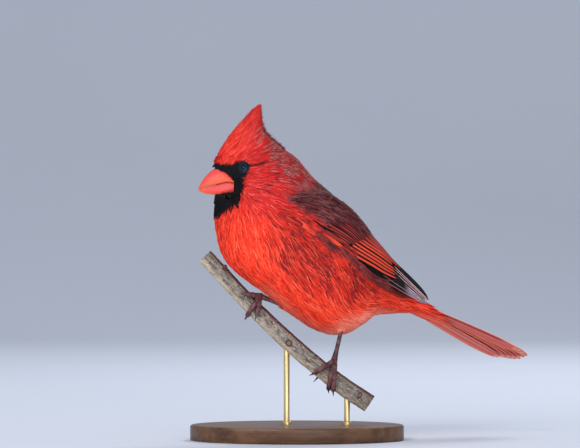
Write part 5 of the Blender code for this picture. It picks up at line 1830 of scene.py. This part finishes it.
def tail_finish():
    web = Finish("tail_webs", Roughness=0.55, Specular_IOR_Level=0.2)
    across, along, tone = web.number("across"), web.number("along"), web.number("tone")
    lines = barbs(across, along, 90)
    colour = web.blend(lines * 0.22 + tone * 0.25, TAIL_ROSE, (0.46, 0.070, 0.075))
    upper_side = web.blend(lines * 0.3, TAIL_CRIMSON, WEB_BLACK)
    colour = web.blend((1 - web.number("under")) * 0.9, colour, upper_side)
    outermost = web.number("outermost")
    shaded_web = outermost * across.between(0.0, 0.1) * (1 - along.between(0.80, 0.90))
    colour = web.blend(shaded_web * 0.85, colour, web.blend(lines, TAIL_CRIMSON, (0.42, 0.020, 0.020)))
    outer = across.between(0.48, 0.78) * (1 - shaded_web * 0.6)
    colour = web.blend(outer, colour, TAIL_ORANGE)
    shaft = 1 - (across * (12 - outermost * 5)).size().between(0.5, 1.0)
    colour = web.blend(shaft * 0.9, colour, web.blend(outermost, TAIL_PALE, TAIL_ORANGE))
    inner_rim = (0 - across).between(0.78, 0.92)
    colour = web.blend(inner_rim, colour, TAIL_ORANGE)
    tip = along.between(0.955, 0.985)
    colour = web.blend(across.size().between(0.93, 0.99) * 0.7 + tip * 0.8, colour, TAIL_PALE)
    height = lines * 0.4 + shaft
    return web.finish(Base_Color=colour, Normal=web.bumped(height, 0.2))


dress(WINGS + PADS, wing_finish())
dress([TAIL], tail_finish())
print("webs done")

# %% [markdown]
# ## Horn, eye and skin
#
# Horn is smooth with a faint grain and a paler cutting edge. The eye needs little more than a wet clear
# surface over near black, with a blue ring of painted reflection round the pupil. The scaly skin of the
# legs is dark with paler, drier ridges.

# %% Small finishes


def bill_finish():
    horn = Finish("bill_horn", Roughness=0.38, Specular_IOR_Level=0.25, Subsurface_Weight=0.05)
    toward, height, lower = horn.number("toward_tip"), horn.number("height"), horn.number("lower")
    streaks = horn.grain(700, 4, 0.6, (1, 1, 3))
    colour = horn.blend(streaks.between(0.35, 0.65) * 0.5, (0.66, 0.047, 0.047), (0.78, 0.092, 0.080))
    near_mouth = (1 - height).between(0.30, 0.95) * 0.7
    near_keel = height.between(0.4, 0.95) * 0.6 + toward.between(0.45, 0.9) * 0.6
    colour = horn.blend(near_mouth * (1 - lower) + near_keel * lower, colour, (0.80, 0.100, 0.022))
    colour = horn.blend((0.06 - height).between(-0.04, 0.04) * 0.7, colour, (0.30, 0.03, 0.02))
    colour = horn.blend((1 - toward.between(0.0, 0.22)) * 0.5, colour, (0.50, 0.06, 0.045))
    rough = streaks * 0.2 + 0.28
    return horn.finish(Base_Color=colour, Roughness=rough, Normal=horn.bumped(streaks, 0.08))


def eye_finish():
    ball = Finish("eye", Roughness=0.16, Specular_IOR_Level=0.12)
    flat = ball.place((1 / EYEBALL_RADIUS, 1 / EYEBALL_RADIUS, 0))
    away = ball.add("ShaderNodeVectorMath", {"operation": "LENGTH"}, {0: flat}, "Value")
    # painted reflection: a ring of blue sky round the near black pupil
    colour = ball.blend(away.between(0.36, 0.41), (0.002, 0.003, 0.005), (0.006, 0.024, 0.047))
    colour = ball.blend(away.between(0.54, 0.62), colour, (0.002, 0.003, 0.005))
    return ball.finish(Base_Color=colour)


def lid_finish():
    lid = Finish("lids", Roughness=0.7, Specular_IOR_Level=0.15)
    fine = lid.grain(3500, 2)
    colour = lid.blend(fine, (0.004, 0.005, 0.008), (0.016, 0.020, 0.027))
    return lid.finish(Base_Color=colour, Normal=lid.bumped(fine, 0.4))


def leg_finish():
    skin = Finish("leg_skin", Roughness=0.5, Specular_IOR_Level=0.35)
    large, fine = skin.grain(420, 3), skin.grain(2600, 3)
    colour = skin.blend(large.between(0.35, 0.68), (0.038, 0.013, 0.017), (0.160, 0.058, 0.060))
    colour = skin.blend(fine.between(0.58, 0.8) * 0.5, colour, (0.26, 0.16, 0.16))
    return skin.finish(Base_Color=colour, Roughness=fine * 0.3 + 0.38, Normal=skin.bumped(fine, 0.35))


def claw_finish():
    horn = Finish("claw_horn", Roughness=0.3, Specular_IOR_Level=0.5)
    grain = horn.grain(1500, 2)
    return horn.finish(Base_Color=horn.blend(grain, (0.018, 0.011, 0.010), (0.07, 0.045, 0.038)))


dress(BILL, bill_finish())
dress([ball for ball, _ in EYES], eye_finish())
dress([lid for _, lid in EYES], lid_finish())
dress([piece for pair in FEET_PIECES for piece in pair], leg_finish())
dress(CLAWS, claw_finish())
print("small finishes done")

# %% [markdown]
# ## Bark, wood and brass
#
# The bark is grey-brown and finely furrowed along the branch, darker and redder on its upper side, with
# pale corky pores. Its lower side is pale tan, which is painted light from below. The cut ends show pale
# wood.

# %% Bark and stand finishes


def bark_finish():
    bark = Finish("bark", Roughness=0.85, Specular_IOR_Level=0.2)
    turn = (0, math.radians(-42), 0)
    furrows = bark.grain(900, 5, 0.7, (0.30, 1, 1), turn)
    blotches = bark.grain(190, 4, 0.65, (0.6, 1, 1), turn)
    top = bark.number("topside") + bark.number("nearside") * -0.18 + (blotches - 0.5) * 0.5
    colour = bark.blend(furrows.between(0.34, 0.66), (0.070, 0.055, 0.048), (0.26, 0.225, 0.195))
    colour = bark.blend(blotches.between(0.50, 0.64) * 0.5, colour, (0.33, 0.31, 0.28))
    # painted light: the lower side pale tan, as if lit from below
    painted_underside_light = bark.blend(furrows.between(0.30, 0.62), (0.24, 0.19, 0.14), (0.60, 0.50, 0.37))
    colour = bark.blend((0 - top).between(0.35, 0.95) * 0.75, colour, painted_underside_light)
    red_side = bark.blend(furrows, (0.030, 0.009, 0.010), (0.13, 0.035, 0.030))
    colour = bark.blend(top.between(0.50, 0.78) * 0.9, colour, red_side)
    cells = {"Vector": bark.place((0.7, 1, 1), turn), "Scale": 620, "Randomness": 1.0}
    pore = 1 - bark.add("ShaderNodeTexVoronoi", {"feature": "F1"}, cells, "Distance").between(0.16, 0.27)
    pore = pore * bark.grain(350, 1).between(0.44, 0.52)
    colour = bark.blend(pore * 0.8, colour, (0.66, 0.53, 0.36))
    scar = bark.number("scar")
    colour = bark.blend(scar.between(0.22, 0.40) * 0.85, colour, (0.050, 0.024, 0.020))
    colour = bark.blend(scar.between(0.60, 0.85) * 0.8, colour, (0.22, 0.13, 0.095))
    rings = (bark.number("cut").between(0.0, 1.0) * 60).sine() * 0.5 + 0.5
    wood = bark.blend(rings, (0.50, 0.36, 0.21), (0.62, 0.48, 0.31))
    colour = bark.blend(bark.number("cut").between(0.02, 0.12), colour, wood)
    height = furrows * 0.8 + pore + scar * 0.4
    return bark.finish(Base_Color=colour, Normal=bark.bumped(height, 0.7, 0.0004))


def wood_finish():
    wood = Finish("stained_wood", Roughness=0.4, Specular_IOR_Level=0.3, Coat_Weight=0.1, Coat_Roughness=0.3)
    grain = wood.grain(60, 6, 0.6, (0.15, 3, 3))
    fine = wood.grain(400, 3, 0.6, (0.08, 3, 3))
    colour = wood.blend(grain.between(0.3, 0.7), (0.060, 0.026, 0.012), (0.16, 0.075, 0.034))
    colour = wood.blend(fine.between(0.55, 0.75) * 0.5, colour, (0.035, 0.016, 0.009))
    return wood.finish(Base_Color=colour, Roughness=fine * 0.15 + 0.33, Normal=wood.bumped(fine, 0.1))


def brass_finish():
    brass = Finish("satin_brass", Metallic=1.0)
    brushed = brass.grain(800, 3, 0.6, (1, 1, 0.03))
    colour = brass.blend(brushed, (0.62, 0.45, 0.20), (0.78, 0.62, 0.34))
    return brass.finish(Base_Color=colour, Roughness=brushed * 0.2 + 0.25)


dress(PERCH, bark_finish())
dress([BASE], wood_finish())
dress(RODS, brass_finish())
print("bark, wood and brass done")

# %% [markdown]
# ## Floor, light and camera
#
# A pale sweep stands in for a studio table and wall. Three round lamps and a pale world light the bird
# softly, and a small panel on the floor brightens its belly. The camera is level with the bird and looks at
# its left side.

# %% Studio
CAMERA_AT = (-0.00406, -2.0, 0.1253)
FRAME_WIDTH = 0.3364
SENSOR = 36.0


def make_sweep():
    near, far, radius = -3.0, 1.7, 1.2
    bend = np.linspace(0, math.pi / 2, 24)
    profile = [(near, 0.0)]
    profile += [(far + radius * math.sin(a), radius * (1 - math.cos(a))) for a in bend]
    profile += [(far + radius, 3.0)]
    points = np.array([[(x, y, z) for x in (-4.0, 4.0)] for y, z in profile]).reshape(-1, 3)
    faces = grid_faces(len(profile), 2, closed=False)
    mesh = bpy.data.meshes.new("sweep")
    mesh.from_pydata(points.tolist(), [], faces.tolist())
    mesh.shade_smooth()
    sweep = linked("sweep", mesh)
    paper = Finish("paper", Roughness=0.95, Specular_IOR_Level=0.1)
    colour = paper.blend(paper.grain(2, 2), (0.53, 0.57, 0.65), (0.57, 0.61, 0.69))
    dress([sweep], paper.finish(Base_Color=colour))
    return sweep


def make_light(name, place, size, power, colour, aim=(0, 0, 0.11)):
    lamp = bpy.data.lights.new(name, "AREA")
    lamp.shape = "DISK"
    lamp.size = size
    lamp.energy = power
    lamp.color = colour
    obj = linked(name, lamp)
    obj.location = place
    obj.rotation_euler = (Vector(aim) - Vector(place)).to_track_quat("-Z", "Y").to_euler()
    return obj


def make_camera():
    lens = bpy.data.cameras.new("camera")
    lens.sensor_width = SENSOR
    lens.lens = SENSOR * abs(CAMERA_AT[1]) / FRAME_WIDTH
    lens.clip_start = 0.01
    camera = linked("camera", lens)
    camera.location = CAMERA_AT
    camera.rotation_euler = (math.radians(90), 0, 0)
    bpy.context.scene.camera = camera


make_sweep()
make_light("key", (-0.8, -1.4, 1.2), 1.0, 21, (1.0, 0.98, 0.96))
make_light("fill", (0.5, -2.2, 0.0), 1.2, 21, (0.97, 0.98, 1.0))
make_light("rim", (0.5, 1.0, 1.2), 0.8, 12, (0.95, 0.97, 1.0))
# a panel lying on the floor in front lights the belly from below
panel = make_light("panel", (-0.02, -0.32, 0.002), 0.4, 1.3, (0.97, 0.98, 1.0), aim=(-0.02, -0.3199, 1.0))
panel.visible_camera = False
make_camera()
world = bpy.data.worlds.new("studio")
world.use_nodes = True
sky = world.node_tree.nodes["Background"].inputs
sky["Color"].default_value = (0.90, 0.93, 1.0, 1)
sky["Strength"].default_value = 0.65
bpy.context.scene.world = world
bpy.context.scene.view_settings.view_transform = "Standard"

# %% Sizes
total = sum(len(piece.data.polygons) for piece in PIECES)
print("pieces", len(PIECES), "with", total, "faces")
